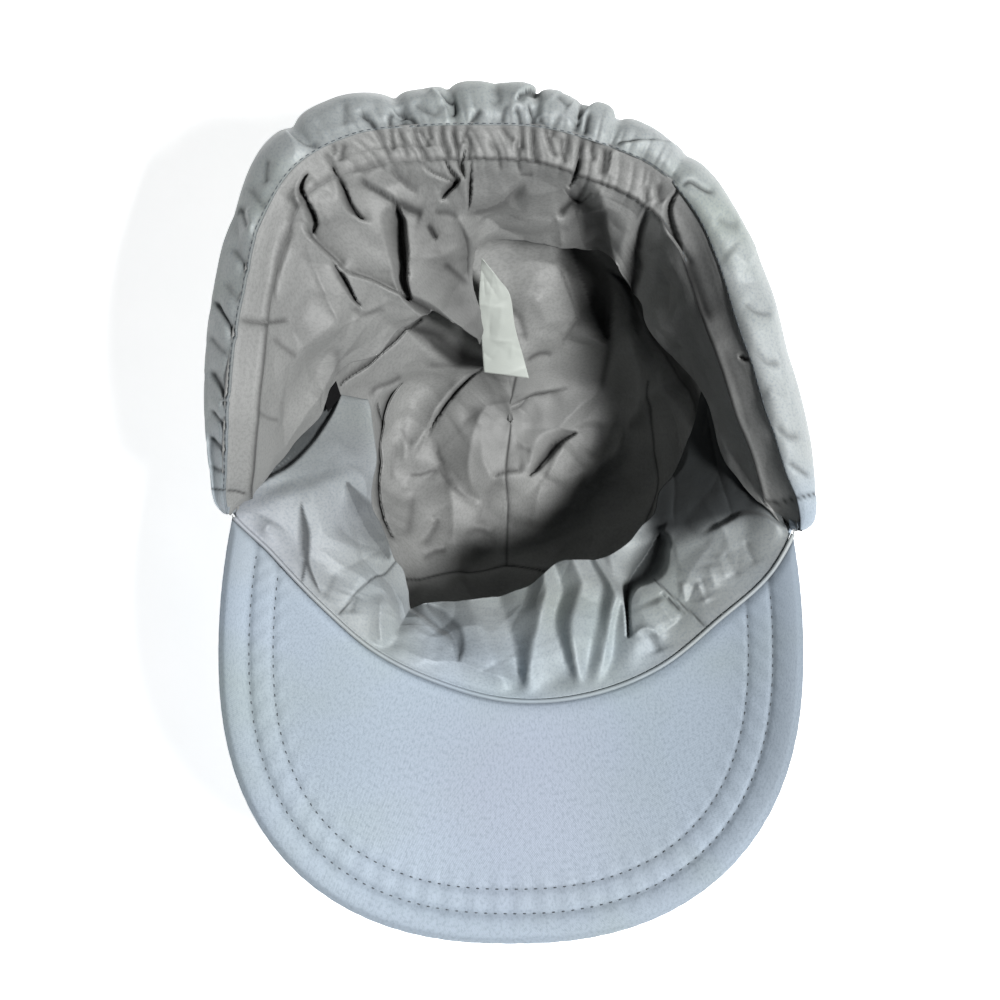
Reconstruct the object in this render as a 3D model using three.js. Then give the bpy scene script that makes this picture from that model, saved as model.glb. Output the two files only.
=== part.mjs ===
// Peaked ski cap in woven nylon, lying upside down on its flattened crown.
// Millimetres, +Z up. The origin is the middle of the flat on the crown top; the peak points
// along -Y and the opening faces +Z. Most shapes are worked out in rings around the bowl axis:
// a bearing in degrees (0 = wearer's side at +X, 90 = back, 270 = front), a radius and a height.
import * as THREE from 'three';

// Cloth thicknesses and the gap that neighbouring pieces keep
const SHELL_WALL = 1.2;
const LINING_WALL = 1.0;
const FACING_WALL = 1.0;
const FLAP_PADDING = 3.2;
const FLAP_SEAM_WALL = 1.4;
const GAP = 0.5;

// Crown
const BOWL_AXIS_Y = 5;
const FLAT_RADIUS = 50;
const RIM_HEIGHT = 83.5;
const SIDE_ARCH = 8;
const SIDE_REACH = 92;

// Peak
const PEAK_WALL = 3.0;
const PEAK_EDGE_WALL = 1.7;
const PEAK_TIP_RISE = 6;
const PEAK_FRONT_Y = -87;
const PEAK_DEPTH = 77;
const PEAK_OUTLINE = { halfWidth: 93.1, depth: 93, power: 2.32, x: -0.3, y: -71.2 };
const PEAK_CORNERS = { narrowing: 0.04, reach: 40 };
const PEAK_SPAN = { from: 203, to: 334.5 };
const WELT_RADIUS = 1.0;

// Flap and facing spans, by bearing
const FLAP_SPAN = { from: -22.3, to: 199.6 };
const FACING_SPAN = { from: 173, to: 374 };
const FLAP_ENDS = { left: [199, 206], right: [330, 337] };

// Section of the flap's roll: shares of its width and height, and drops below its top
const ROLL = {
  height: 27, leastTall: 0.2,
  foot: 0.6, shoulder: 0.62, shoulderRise: 0.34, widestRise: 0.62, crest: 0.78, crestDrop: 4,
  lip: 0.4, lipDrop: 1, seamDrop: 2.4,
};
const LEFT_TILT = { from: 125, to: 150, crest: 4.5, lip: 2 };

// Casing inside the roll's seam: its start, and how far it slopes down at the back and at the sides
const CASING = { inset: 0.7, start: 3.8, back: 3.2, right: 5, left: 2.2, endReach: 16 };
const RIGHT_SIDE = { from: 36, to: 62 };

// Free lobe of the flap's hem that hangs into the bowl
const LOBE = { bearing: 114, halfWidth: 13, inward: 21, down: 30 };

// Label and loop tab sewn into the lining
const LABEL = { width: 13.5, wall: 0.6, turn: 2.3 };
const LABEL_PATH = [[-10, 61, 71.9], [-8.6, 54, 63.5], [-6.2, 44.5, 51.5], [-1.5, 21.1, 32.5]];
const TAB = { width: 5, wall: 1.2, bearing: 174, root: [62, 75.9], tip: [56, 74.6] };

// Grid sizes
const AROUND = 56;
const FLAP_STATIONS = 58;
const FACING_STATIONS = 44;
const PEAK_STATIONS = 36;

const table = (columns, rows) => {
  const names = columns.split(' ');
  return rows.map((row) => Object.fromEntries(names.map((name, k) => [name, row[k]])));
};

// Rim of the crown seen from above
const RIM = table('bearing radius', [
  [0, 88], [15, 84], [30, 85.5], [45, 90], [60, 94], [75, 95.5], [90, 98], [105, 100],
  [120, 103.5], [135, 103], [150, 96.5], [165, 92.5], [180, 91.5], [195, 96.5], [210, 88.7],
  [225, 86.4], [240, 87.8], [255, 89.3], [270, 92], [285, 93.4], [300, 93.9], [315, 93.3],
  [330, 97], [345, 96],
]);

// Side profile of the crown: share of the height against share of the spread from flat to rim
const CROWN_PROFILE = table('rise spread', [
  [0, 0], [0.012, 0.14], [0.045, 0.28], [0.11, 0.42], [0.22, 0.54], [0.36, 0.66],
  [0.52, 0.77], [0.7, 0.87], [0.86, 0.95], [1, 1],
]);

// Flap: outermost radius, edge seam, lower casing stitch, top height and the inner hem
const FLAP = table('bearing outer seam casing top hemRadius hemHeight', [
  [-24, 100.5, 95.8, 89.5, 98, 88, 93],
  [-20.5, 101.6, 94.2, 86.5, 101, 83, 91],
  [-17, 100.4, 91.2, 83.5, 104, 78, 87],
  [-12, 97.2, 86.5, 79.8, 108, 72, 81],
  [0, 92, 78, 71, 114, 65, 77],
  [12, 88.5, 74.2, 67.4, 118, 60.3, 75],
  [24, 89, 73.8, 66.7, 119, 56, 74],
  [36, 92, 77, 70, 119, 54.5, 73],
  [48, 96, 82.5, 75, 119, 60, 73],
  [60, 98.8, 85.7, 76.5, 119, 62.5, 73],
  [72, 99.5, 85.6, 76.3, 119, 60, 73],
  [84, 101.5, 86.7, 78, 119, 57.8, 73],
  [96, 104, 87.5, 79, 119, 58.8, 73],
  [108, 105.5, 91, 82, 119, 53, 74],
  [120, 112.5, 97, 88, 119, 46, 74],
  [132, 114, 99.6, 92, 119, 44, 73],
  [144, 107, 95.6, 88.7, 119, 46, 72],
  [156, 101.5, 90, 83, 119, 50, 73],
  [168, 97.6, 87.5, 79.5, 119, 59.5, 76],
  [180, 96.4, 87.5, 79.7, 117, 62.5, 79],
  [186, 96.4, 88.8, 81.3, 114, 69, 82.5],
  [192, 96.9, 91.2, 84, 109, 77, 87],
  [196, 98, 92, 85.5, 105, 83, 91],
  [201, 98.4, 93.6, 88, 100, 90, 93],
]);

// Notches that the elastic pulls into the flap's roll at the back
const GATHERS = table('bearing depth halfWidth', [
  [55.8, 1.6, 2.4], [69.8, 2.2, 2.2], [77.2, 1.8, 2.0], [85.7, 2.2, 2.0], [93, 1.2, 2.0],
  [101.3, 2.0, 2.0], [110.5, 2.6, 2.2], [127.6, 2.4, 2.2],
]);

// Slack lining: where its floor ends, and the top edge under the flap or behind the facing. The floor
// is lifted in the middle and runs up into a long slope at the back
const LINING_MIDDLE_HEIGHT = 11;
const LINING = table('bearing floor floorHeight radius height', [
  [0, 42, 6, 72, 66], [15, 38, 8, 72, 68], [30, 33, 11, 73, 68], [45, 29, 15, 76, 68],
  [60, 25, 20, 79, 67], [75, 20, 26, 80, 66], [90, 17, 28, 80, 66], [105, 18, 27, 78, 66],
  [120, 22, 22, 75, 65], [135, 27, 16, 72, 64], [150, 32, 11, 70, 63], [165, 36, 8, 69, 62],
  [180, 39, 6, 70, 60], [195, 42, 4, 74, 60], [210, 44, 3, 77, 62], [225, 45, 2.9, 76, 62],
  [240, 46, 2.9, 79, 62], [255, 47, 2.9, 80.5, 62], [270, 48, 2.9, 83, 62], [285, 47, 2.9, 84, 62],
  [300, 46, 2.9, 84.5, 62], [315, 45, 3, 84, 63], [330, 44, 3.5, 84, 64], [345, 44, 4.2, 76, 65],
]);
const LINING_LEAN = 0.14;

// The lining wall from its floor to its top: shares of the way out and up, and of each fold's height
const LINING_RISE = table('out up fold', [[0.38, 0.3, 0.5], [0.7, 0.62, 1], [1, 1, 0.3]]);

// The flap's skirt from its casing to its hem: shares of the way in and down, and of each fold's height
const SKIRT_FALL = table('inward down fold', [[0.33, 0.36, 0], [0.7, 0.72, 0.6], [1, 1, 0.3]]);

// Large soft folds of the lining wall, standing inward
const LINING_FOLDS = table('bearing height halfWidth', [
  [22, 3, 7], [50, -4, 7], [70, 3, 6], [116, 3.5, 5], [130, -4.5, 6], [147, 4, 7],
]);

// Front facing: its free lower edge
const FACING = table('bearing radius height', [
  [170, 49.5, 66], [177, 46.5, 67], [190, 45.5, 69], [201, 47, 70], [213, 54.5, 67], [221, 56.5, 66],
  [230, 61, 66], [235, 62, 65], [242, 70, 65], [253, 64, 66], [260, 61.5, 66], [266, 60, 66],
  [271, 57.5, 67], [276, 55.5, 67], [282, 52.5, 68], [289, 50.5, 68], [296, 52.5, 69],
  [302, 55.5, 69], [308, 56.5, 69], [314, 57, 69], [320, 56.5, 67], [326, 57.5, 65], [333, 56, 62],
  [339, 57.5, 60], [345, 58, 59], [353, 60, 60], [365, 63.5, 62], [378, 68, 66],
]);
const FACING_TOP = { inset: 2.2, rise: 1.2, underFlapInset: 2.6, underFlapDrop: 4.2 };
const FACING_MIDDLE = { inward: 0.52, down: 0.36 };

// Folds of the facing: ridges stand inward, valleys go outward
const FACING_FOLDS = table('bearing height halfWidth', [
  [213, -4.5, 3.6], [221, 2.5, 4.5], [236, -3, 3], [246, 3, 5], [259, -3.5, 4], [266, 2, 4],
  [272, -4.5, 3], [280, 3.5, 4], [288, -4.5, 3], [294, 3.5, 3.5], [301, -5, 3.2],
  [309, 2.5, 4], [318, -2.5, 4], [328, 2, 4],
]);

const radians = THREE.MathUtils.degToRad;
const lerp = THREE.MathUtils.lerp;
const smoothstep = THREE.MathUtils.smoothstep;
const bell = (distance, halfWidth) => Math.exp(-((distance / halfWidth) ** 2));

// Smooth curve through one column of a table, along its first column
function alongColumn(rows, key, column, place) {
  let k = rows.findIndex((row) => row[key] > place) - 1;
  if (k < 0) k = place < rows[0][key] ? 0 : rows.length - 2;
  const at = (n) => rows[THREE.MathUtils.clamp(n, 0, rows.length - 1)];
  const [before, low, high, after] = [at(k - 1), at(k), at(k + 1), at(k + 2)];
  const share = THREE.MathUtils.clamp((place - low[key]) / (high[key] - low[key]), 0, 1);
  const slope = (a, b) => (b[column] - a[column]) / Math.max(b[key] - a[key], 1e-6);
  const step = high[key] - low[key];
  const startSlope = slope(before, high) * step;
  const endSlope = slope(low, after) * step;
  const [s2, s3] = [share ** 2, share ** 3];
  return (2 * s3 - 3 * s2 + 1) * low[column] + (s3 - 2 * s2 + share) * startSlope
    + (3 * s2 - 2 * s3) * high[column] + (s3 - s2) * endSlope;
}

// The same for a table that closes on itself after 360 degrees
function roundColumn(rows, column, bearing) {
  const turn = ((bearing % 360) + 360) % 360;
  const wrapped = [
    { ...rows.at(-1), bearing: rows.at(-1).bearing - 360 },
    ...rows,
    { ...rows[0], bearing: 360 },
    { ...rows[1], bearing: rows[1].bearing + 360 },
  ];
  return alongColumn(wrapped, 'bearing', column, turn);
}

const ringPoint = (bearing, radius, height) => new THREE.Vector3(
  radius * Math.cos(radians(bearing)),
  BOWL_AXIS_Y + radius * Math.sin(radians(bearing)),
  height,
);

// Distance from the bowl axis to the edge of the resting flat
function flatEdge(bearing) {
  const across = BOWL_AXIS_Y * Math.cos(radians(bearing));
  return Math.sqrt(FLAT_RADIUS ** 2 - across ** 2) - BOWL_AXIS_Y * Math.sin(radians(bearing));
}

const rimRadius = (bearing) => roundColumn(RIM, 'radius', bearing);

// The front half of the rim rises towards both temples, where the peak arches up
function rimHeight(bearing) {
  const x = rimRadius(bearing) * Math.cos(radians(bearing));
  const frontness = smoothstep(-Math.sin(radians(bearing)), 0, 0.3);
  return RIM_HEIGHT + SIDE_ARCH * (x / SIDE_REACH) ** 2 * frontness;
}

const foldHeight = (folds, bearing) => folds.reduce(
  (sum, fold) => sum + fold.height * bell(bearing - fold.bearing, fold.halfWidth), 0);

// Turns a function of two shares into a closed wall. The grid lies on the outer side, the middle or
// the inner side of the wall, as side is 1, 0 or -1. A ring closes around, a pole closes its start.
function wall(point, columns, rows, thickness, { ring = false, pole = false, side = 0 } = {}) {
  const across = ring ? columns : columns + 1;
  const down = rows + 1;
  const grid = Array.from({ length: across }, (_, i) => Array.from(
    { length: down }, (_, j) => point(i / columns, j / rows)));
  const columnOf = (i) => (ring ? (i + across) % across : THREE.MathUtils.clamp(i, 0, across - 1));
  const rowOf = (j) => THREE.MathUtils.clamp(j, 0, down - 1);
  const normalAt = (i, j) => {
    if (pole && j === 0) {
      return grid.reduce((sum, _, k) => sum.add(normalAt(k, 1)), new THREE.Vector3()).normalize();
    }
    const along = grid[columnOf(i + 1)][j].clone().sub(grid[columnOf(i - 1)][j]);
    const downward = grid[i][rowOf(j + 1)].clone().sub(grid[i][rowOf(j - 1)]);
    return along.cross(downward).normalize();
  };
  const positions = [];
  const ids = [0, 1].map(() => grid.map((column) => column.map(() => 0)));
  const add = (vertex) => positions.push(vertex.x, vertex.y, vertex.z) / 3 - 1;
  [0, 1].forEach((face) => grid.forEach((column, i) => column.forEach((vertex, j) => {
    if (pole && j === 0 && i > 0) {
      ids[face][i][j] = ids[face][0][0];
      return;
    }
    const full = typeof thickness === 'function' ? thickness(i / columns, j / rows) : thickness;
    const shift = face === 0 ? full * (1 - side) / 2 : -full * (1 + side) / 2;
    ids[face][i][j] = add(vertex.clone().addScaledVector(normalAt(i, j), shift));
  })));
  const triangles = [];
  const quad = (a, b, c, d) => {
    if (a !== b && b !== c && a !== c) triangles.push(a, b, c);
    if (a !== c && c !== d && a !== d) triangles.push(a, c, d);
  };
  const [near, far] = ids;
  for (let i = 0; i < columns; i += 1) {
    const next = columnOf(i + 1);
    for (let j = 0; j < rows; j += 1) {
      quad(near[i][j], near[next][j], near[next][j + 1], near[i][j + 1]);
      quad(far[i][j + 1], far[next][j + 1], far[next][j], far[i][j]);
    }
    quad(near[i][rows], near[next][rows], far[next][rows], far[i][rows]);
    if (!pole) quad(far[i][0], far[next][0], near[next][0], near[i][0]);
  }
  if (!ring) {
    for (let j = 0; j < rows; j += 1) {
      quad(near[0][j], near[0][j + 1], far[0][j + 1], far[0][j]);
      quad(near[columns][j + 1], near[columns][j], far[columns][j], far[columns][j + 1]);
    }
  }
  return outward(positions, triangles);
}

// Builds the geometry, turning every triangle round when the volume comes out negative
function outward(positions, triangles) {
  const corner = (n) => new THREE.Vector3().fromArray(positions, triangles[n] * 3);
  let volume = 0;
  for (let n = 0; n < triangles.length; n += 3) {
    volume += corner(n).dot(corner(n + 1).cross(corner(n + 2)));
  }
  if (volume < 0) triangles.reverse();
  const geometry = new THREE.BufferGeometry();
  geometry.setAttribute('position', new THREE.Float32BufferAttribute(positions, 3));
  geometry.setIndex(triangles);
  geometry.computeVertexNormals();
  return geometry;
}

// Radius and height along a smooth section through a few points
function sectionPoint(bearing, points, share) {
  const place = new THREE.SplineCurve(points.map(([r, z]) => new THREE.Vector2(r, z))).getPoint(share);
  return ringPoint(bearing, place.x, place.y);
}

const spanBearing = (span, share) => lerp(span.from, span.to, share);

// Outer crown: flat on the floor, then flared walls up to the rim
function crownShell() {
  const flatRows = 1;
  const profileRows = CROWN_PROFILE.length - 1;
  const rows = flatRows + profileRows;
  return wall((aroundShare, downShare) => {
    const bearing = 360 * aroundShare;
    const row = Math.round(downShare * rows);
    if (row <= flatRows) return ringPoint(bearing, flatEdge(bearing) * row / flatRows, 0);
    const { rise, spread } = CROWN_PROFILE[row - flatRows];
    const radius = lerp(flatEdge(bearing), rimRadius(bearing), spread);
    return ringPoint(bearing, radius, rise * rimHeight(bearing));
  }, AROUND, rows, SHELL_WALL, { ring: true, pole: true, side: 1 });
}

// Loose lining: a small lifted floor, upright walls at the front and a long slope at the back
function crownLining() {
  const lowest = SHELL_WALL + GAP + LINING_WALL / 2;
  return wall((aroundShare, downShare) => {
    const bearing = 360 * aroundShare;
    const at = (column) => roundColumn(LINING, column, bearing);
    const [floor, floorHeight, radius, height] = ['floor', 'floorHeight', 'radius', 'height'].map(at);
    const fold = foldHeight(LINING_FOLDS, bearing);
    const upright = Math.max(-Math.sin(radians(bearing)), 0) * LINING_LEAN;
    const rise = LINING_RISE.map((row) => [
      lerp(floor, radius, Math.min(row.out + upright, 1)) - fold * row.fold,
      lerp(floorHeight, height, row.up),
    ]);
    const points = [
      [0, LINING_MIDDLE_HEIGHT],
      [floor / 2, (LINING_MIDDLE_HEIGHT + floorHeight) / 2],
      [floor, Math.max(floorHeight, lowest)],
      ...rise,
    ];
    return sectionPoint(bearing, points, downShare);
  }, AROUND, 9, LINING_WALL, { ring: true, pole: true });
}

const flapAt = (column, bearing) => alongColumn(FLAP, 'bearing', column, bearing);

const gatherDepth = (bearing) => GATHERS.reduce(
  (sum, gather) => sum + gather.depth * bell(bearing - gather.bearing, gather.halfWidth), 0);

// Padded outer flap: up from the rim, over a soft roll, down to the edge seam
function flapShell() {
  return wall((aroundShare, downShare) => {
    const bearing = spanBearing(FLAP_SPAN, aroundShare);
    const [seam, top] = [flapAt('seam', bearing), flapAt('top', bearing)];
    const outer = flapAt('outer', bearing) - gatherDepth(bearing);
    const [rim, low] = [rimRadius(bearing), rimHeight(bearing) + GAP];
    const tilt = smoothstep(bearing, LEFT_TILT.from, LEFT_TILT.to);
    const tall = Math.min(Math.max((top - low) / ROLL.height, ROLL.leastTall), 1);
    const points = [
      [rim + ROLL.foot, low],
      [lerp(rim, outer, ROLL.shoulder), lerp(low, top, ROLL.shoulderRise)],
      [outer, lerp(low, top, ROLL.widestRise)],
      [lerp(seam, outer, ROLL.crest), top - (ROLL.crestDrop + LEFT_TILT.crest * tilt) * tall],
      [lerp(seam, outer, ROLL.lip), top - (ROLL.lipDrop + LEFT_TILT.lip * tilt) * tall],
      [seam, top - ROLL.seamDrop * tall],
    ];
    return sectionPoint(bearing, points, downShare);
  }, FLAP_STATIONS, 9, (_, downShare) => lerp(FLAP_PADDING, FLAP_SEAM_WALL, smoothstep(downShare, 0.6, 1)),
  { side: 1 });
}

// Flap lining: elastic casing, then a slack skirt that slopes in to its hem
function flapLining() {
  return wall((aroundShare, downShare) => {
    const bearing = spanBearing(FLAP_SPAN, aroundShare);
    const at = (column) => flapAt(column, bearing);
    const [seam, casing, start] = [at('seam') - CASING.inset, at('casing'), at('top') - CASING.start];
    const right = 1 - smoothstep(bearing, RIGHT_SIDE.from, RIGHT_SIDE.to);
    const left = smoothstep(bearing, LEFT_TILT.from, LEFT_TILT.to);
    const toEnd = Math.min(bearing - FLAP_SPAN.from, FLAP_SPAN.to - bearing);
    const drop = CASING.back + CASING.right * right + CASING.left * left;
    const casingHeight = start - drop * smoothstep(toEnd, 0, CASING.endReach);
    const lobe = Math.max(1 - Math.abs(bearing - LOBE.bearing) / LOBE.halfWidth, 0);
    const hem = [at('hemRadius') - LOBE.inward * lobe, at('hemHeight') - LOBE.down * lobe];
    const fold = foldHeight(LINING_FOLDS, bearing);
    const fall = SKIRT_FALL.map((row) => [
      lerp(casing, hem[0], row.inward) - fold * row.fold,
      lerp(casingHeight, hem[1], row.down),
    ]);
    const points = [
      [seam, start],
      [(seam + casing) / 2, lerp(start, casingHeight, 0.4)],
      [casing, casingHeight],
      ...fall,
    ];
    return sectionPoint(bearing, points, downShare);
  }, FLAP_STATIONS, 7, LINING_WALL);
}

// Section of the facing: from the brim seam inward, then down to a rippled free edge
function facingPoint(bearing, downShare) {
  const at = (column) => alongColumn(FACING, 'bearing', column, bearing);
  const underFlap = 1 - smoothstep(bearing, ...FLAP_ENDS.left) + smoothstep(bearing, ...FLAP_ENDS.right);
  const top = [
    rimRadius(bearing) - FACING_TOP.inset - FACING_TOP.underFlapInset * underFlap,
    rimHeight(bearing) + FACING_TOP.rise - FACING_TOP.underFlapDrop * underFlap,
  ];
  const edge = [at('radius') - foldHeight(FACING_FOLDS, bearing), at('height')];
  const middle = [
    lerp(top[0], edge[0], FACING_MIDDLE.inward), lerp(top[1], edge[1], FACING_MIDDLE.down),
  ];
  return sectionPoint(bearing, [top, middle, edge], downShare);
}

const frontFacing = () => wall(
  (aroundShare, downShare) => facingPoint(spanBearing(FACING_SPAN, aroundShare), downShare),
  FACING_STATIONS, 6, FACING_WALL);

// Distance from the bowl axis to the peak's outline, found by halving
function peakEdge(bearing) {
  const { halfWidth, depth, power, x, y } = PEAK_OUTLINE;
  let [inside, beyond] = [rimRadius(bearing), 200];
  for (let step = 0; step < 30; step += 1) {
    const middle = (inside + beyond) / 2;
    const place = ringPoint(bearing, middle, 0);
    const below = Math.max(y - place.y, 0) / depth;
    const above = Math.max(place.y - y, 0) / PEAK_CORNERS.reach;
    const across = Math.abs(place.x - x) / (halfWidth * (1 - PEAK_CORNERS.narrowing * above ** 2));
    const out = across ** power + below ** power;
    if (out > 1) beyond = middle; else inside = middle;
  }
  return inside;
}

const peakHeight = (x, y) => RIM_HEIGHT + 0.6 + SIDE_ARCH * (x / SIDE_REACH) ** 2
  + PEAK_TIP_RISE * Math.max(0, (PEAK_FRONT_Y - y) / PEAK_DEPTH) ** 1.3;

function peak() {
  return wall((aroundShare, downShare) => {
    const bearing = spanBearing(PEAK_SPAN, aroundShare);
    const outShare = 1 - (1 - downShare) ** 1.5;
    const place = ringPoint(bearing, lerp(rimRadius(bearing) + GAP, peakEdge(bearing), outShare), 0);
    place.z = peakHeight(place.x, place.y);
    return place;
  }, PEAK_STATIONS, 7, (_, downShare) => lerp(PEAK_WALL, PEAK_EDGE_WALL, smoothstep(downShare, 0.8, 1)));
}

// Corded seam between the peak's root and the facing
class WeltPath extends THREE.Curve {
  getPoint(share, target = new THREE.Vector3()) {
    const bearing = lerp(PEAK_SPAN.from + 0.5, PEAK_SPAN.to - 0.5, share);
    const height = rimHeight(bearing) + PEAK_WALL / 2 + 0.6 + WELT_RADIUS + 0.1;
    return target.copy(ringPoint(bearing, rimRadius(bearing) - 0.4, height));
  }
}

function peakWelt() {
  const section = new THREE.Shape();
  section.absarc(0, 0, WELT_RADIUS, 0, 2 * Math.PI);
  return new THREE.ExtrudeGeometry(section, {
    steps: 40, curveSegments: 3, extrudePath: new WeltPath(),
  });
}

// Ribbon label: sewn under the flap's hem at the back, lying down the sloping lining
function careLabel() {
  const path = new THREE.CatmullRomCurve3(LABEL_PATH.map((point) => new THREE.Vector3(...point)));
  const acrossRibbon = new THREE.Vector3(LABEL.width / 2, LABEL.turn, 0);
  return wall((aroundShare, downShare) => path.getPoint(downShare)
    .addScaledVector(acrossRibbon, 2 * aroundShare - 1), 3, 10, LABEL.wall);
}

// Small loop tab standing in the slit beside the flap's end
function seamTab() {
  const [root, tip] = [ringPoint(TAB.bearing, ...TAB.root), ringPoint(TAB.bearing, ...TAB.tip)];
  const sideways = new THREE.Vector3(0, TAB.width / 2, 0);
  return wall((aroundShare, downShare) => root.clone().lerp(tip, downShare)
    .addScaledVector(sideways, 2 * aroundShare - 1), 2, 2, TAB.wall);
}

const OUTER_CLOTH = { color: 0xb4c2cf, roughness: 0.42, metalness: 0.1 };
const LINING_CLOTH = { color: 0x9a9a9a, roughness: 0.55, metalness: 0 };
const RIBBON = { color: 0xe6e8e2, roughness: 0.4, metalness: 0 };
const DARK_TAPE = { color: 0x16171a, roughness: 0.7, metalness: 0 };

const cap = new THREE.Group();

function addPiece(name, geometry, finish) {
  const mesh = new THREE.Mesh(geometry, new THREE.MeshStandardMaterial(finish));
  mesh.name = name;
  cap.add(mesh);
}

addPiece('crown_shell', crownShell(), OUTER_CLOTH);
addPiece('crown_lining', crownLining(), LINING_CLOTH);
addPiece('flap_shell', flapShell(), OUTER_CLOTH);
addPiece('flap_lining', flapLining(), LINING_CLOTH);
addPiece('front_facing', frontFacing(), OUTER_CLOTH);
addPiece('peak', peak(), OUTER_CLOTH);
addPiece('peak_welt', peakWelt(), OUTER_CLOTH);
addPiece('care_label', careLabel(), RIBBON);
addPiece('seam_tab', seamTab(), DARK_TAPE);

export default cap;
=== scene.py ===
"""Looks of a peaked ski cap that lies upside down on its crown: shiny woven nylon outside, grey nylon lining.

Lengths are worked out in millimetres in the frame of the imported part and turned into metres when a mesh
is made. Most pieces are grids around the bowl axis: a bearing in degrees (0 = +X, 90 = back, 270 = front),
a radius and a height for each point. Small folds are added along the grid's normals and charted folds
upward, and the piece is the wall between this front grid and a back grid.
"""
from collections import namedtuple

import bpy
import numpy as np
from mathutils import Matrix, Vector


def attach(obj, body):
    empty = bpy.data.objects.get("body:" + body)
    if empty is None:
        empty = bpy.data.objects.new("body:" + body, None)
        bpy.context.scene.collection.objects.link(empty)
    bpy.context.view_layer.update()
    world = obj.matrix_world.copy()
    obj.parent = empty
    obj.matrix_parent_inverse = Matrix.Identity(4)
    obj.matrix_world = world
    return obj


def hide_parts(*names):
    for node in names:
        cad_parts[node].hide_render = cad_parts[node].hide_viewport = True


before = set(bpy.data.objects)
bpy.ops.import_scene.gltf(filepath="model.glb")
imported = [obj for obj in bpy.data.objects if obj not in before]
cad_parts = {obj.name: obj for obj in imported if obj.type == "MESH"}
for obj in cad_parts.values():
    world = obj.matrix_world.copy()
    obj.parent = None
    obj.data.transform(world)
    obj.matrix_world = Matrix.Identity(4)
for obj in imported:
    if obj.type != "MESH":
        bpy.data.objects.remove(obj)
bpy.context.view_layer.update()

MM = 0.001
UPWARD = np.array([0.0, 0.0, 1.0])

# Crown and rim
BOWL_AXIS_Y = 5
FLAT_RADIUS = 50
RIM_HEIGHT = 83.5
SIDE_ARCH = 8
SIDE_REACH = 92
SHELL_WALL = 0.9
LINING_WALL = 0.5
LINING_LOWEST = 1.25
LINING_MIDDLE_HEIGHT = 11
MIDDLE_SEAM_X = 1.5
PANEL_SEAM_Y, PANEL_SEAM_LEAN = -44, 0.19

# Peak
PEAK_WALL = 3.0
PEAK_TIP_RISE = 6
PEAK_FRONT_Y = -87
PEAK_DEPTH = 77
OUTLINE_HALF_WIDTH, OUTLINE_DEPTH, OUTLINE_POWER = 93.1, 93, 2.32
OUTLINE_X, OUTLINE_Y = -0.3, -71.2
OUTLINE_TAPER, TAPER_LENGTH = 0.04, 40
PEAK_SPAN = (200.0, 337.3)
EDGE_ROUNDING = 2.6
EDGE_STITCH = 9.6
INNER_STITCH = 17.2
BORDER_PUFF, BAND_PUFF = 0.8, 0.4
WELT_RADIUS = 0.7

# Flap and facing
FLAP_SPAN = (-22.3, 199.6)
FACING_SPAN = (173, 374)
FLAP_PADDING = 3.0
SEAM_PADDING = 0.8
ROLL_HEIGHT = 27
LOBE_BEARING, LOBE_HALF_WIDTH = 114, 13
LOBE_REACH, LOBE_DROP = 21, 30
CASING_TOP, CASING_DROP = 3.0, 3.2
CASING_DROP_RIGHT, CASING_DROP_LEFT = 6.0, 2.2
CASING_PUFF = 0.9
GAP = 0.5

# Ribbon of the label and tape of the tab
RIBBON_WALL = 0.3
TAB_WALL = 1.0

# Stitches: distance from one to the next, length of the thread that shows, its radius
FLAP_STITCH = (2.3, 1.5, 0.17)
PEAK_STITCH = (3.1, 1.1, 0.24)

# How much fuller the folds are than charted, and the height of the rims beside the clefts
LINING_FULLNESS = 1.4
SKIRT_FULLNESS = 1.25
FACING_FULLNESS = 1.2
CLEFT_RIM = 1.1

# Plan direction that most light comes from
LIGHT_WAY = (0.956, -0.293)

# Camera: place, focal length as a share of the sensor's width, and picture units across
CAMERA = (-3.8, -22.5, 720)
LENS = 1.9716
PICTURE = 1000

# Thread pitch of the weaves, in metres
OUTER_WEAVE, LINING_WEAVE, RIBBON_WEAVE, TAPE_WEAVE = 0.00062, 0.0005, 0.0004, 0.0007

# Key light and what it is aimed at, in metres and watts
KEY_PLACE, KEY_AIM = (0.98, -0.3, 1.92), (0, 0, 0.07)
KEY_SIZE, KEY_POWER = 0.4, 61
SKY, SKY_COLOUR = 0.07, (0.93, 0.96, 1.0, 1)
FLOOR_REACH = 3.0
FLOOR_GLOW = 0.88

# Places of the lilac sheen painted into the colour of the peak and of the facing, and its reach, in metres
PEAK_SHEEN_SPOT = (-0.006, -0.115, 0.086)
FACING_SHEEN_SPOT = (-0.08, -0.038, 0.08)
SPOT_REACH = 0.05


def columns(names, rows):
    """A table with named columns, each a numpy array."""
    return dict(zip(names.split(), np.array(rows, float).T))


# Main lines of the pieces by bearing: radii from the bowl axis and heights
RIM = columns("bearing radius", [
    [0, 88], [15, 84], [30, 85.5], [45, 90], [60, 94], [75, 95.5], [90, 98], [105, 100],
    [120, 103.5], [135, 103], [150, 96.5], [165, 92.5], [180, 91.5], [195, 96.5], [210, 88.7],
    [225, 86.4], [240, 87.8], [255, 89.3], [270, 92], [285, 93.4], [300, 93.9], [315, 93.3],
    [330, 97], [345, 96]])

# Crown's wall from the disc to the rim: share of the rim height, and share of the way out
CROWN_PROFILE = columns("place rise spread", [
    [0, 0, 0], [1, 0.012, 0.14], [2, 0.045, 0.28], [3, 0.11, 0.42], [4, 0.22, 0.54], [5, 0.36, 0.66],
    [6, 0.52, 0.77], [7, 0.7, 0.87], [8, 0.86, 0.95], [9, 1, 1]])

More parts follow.
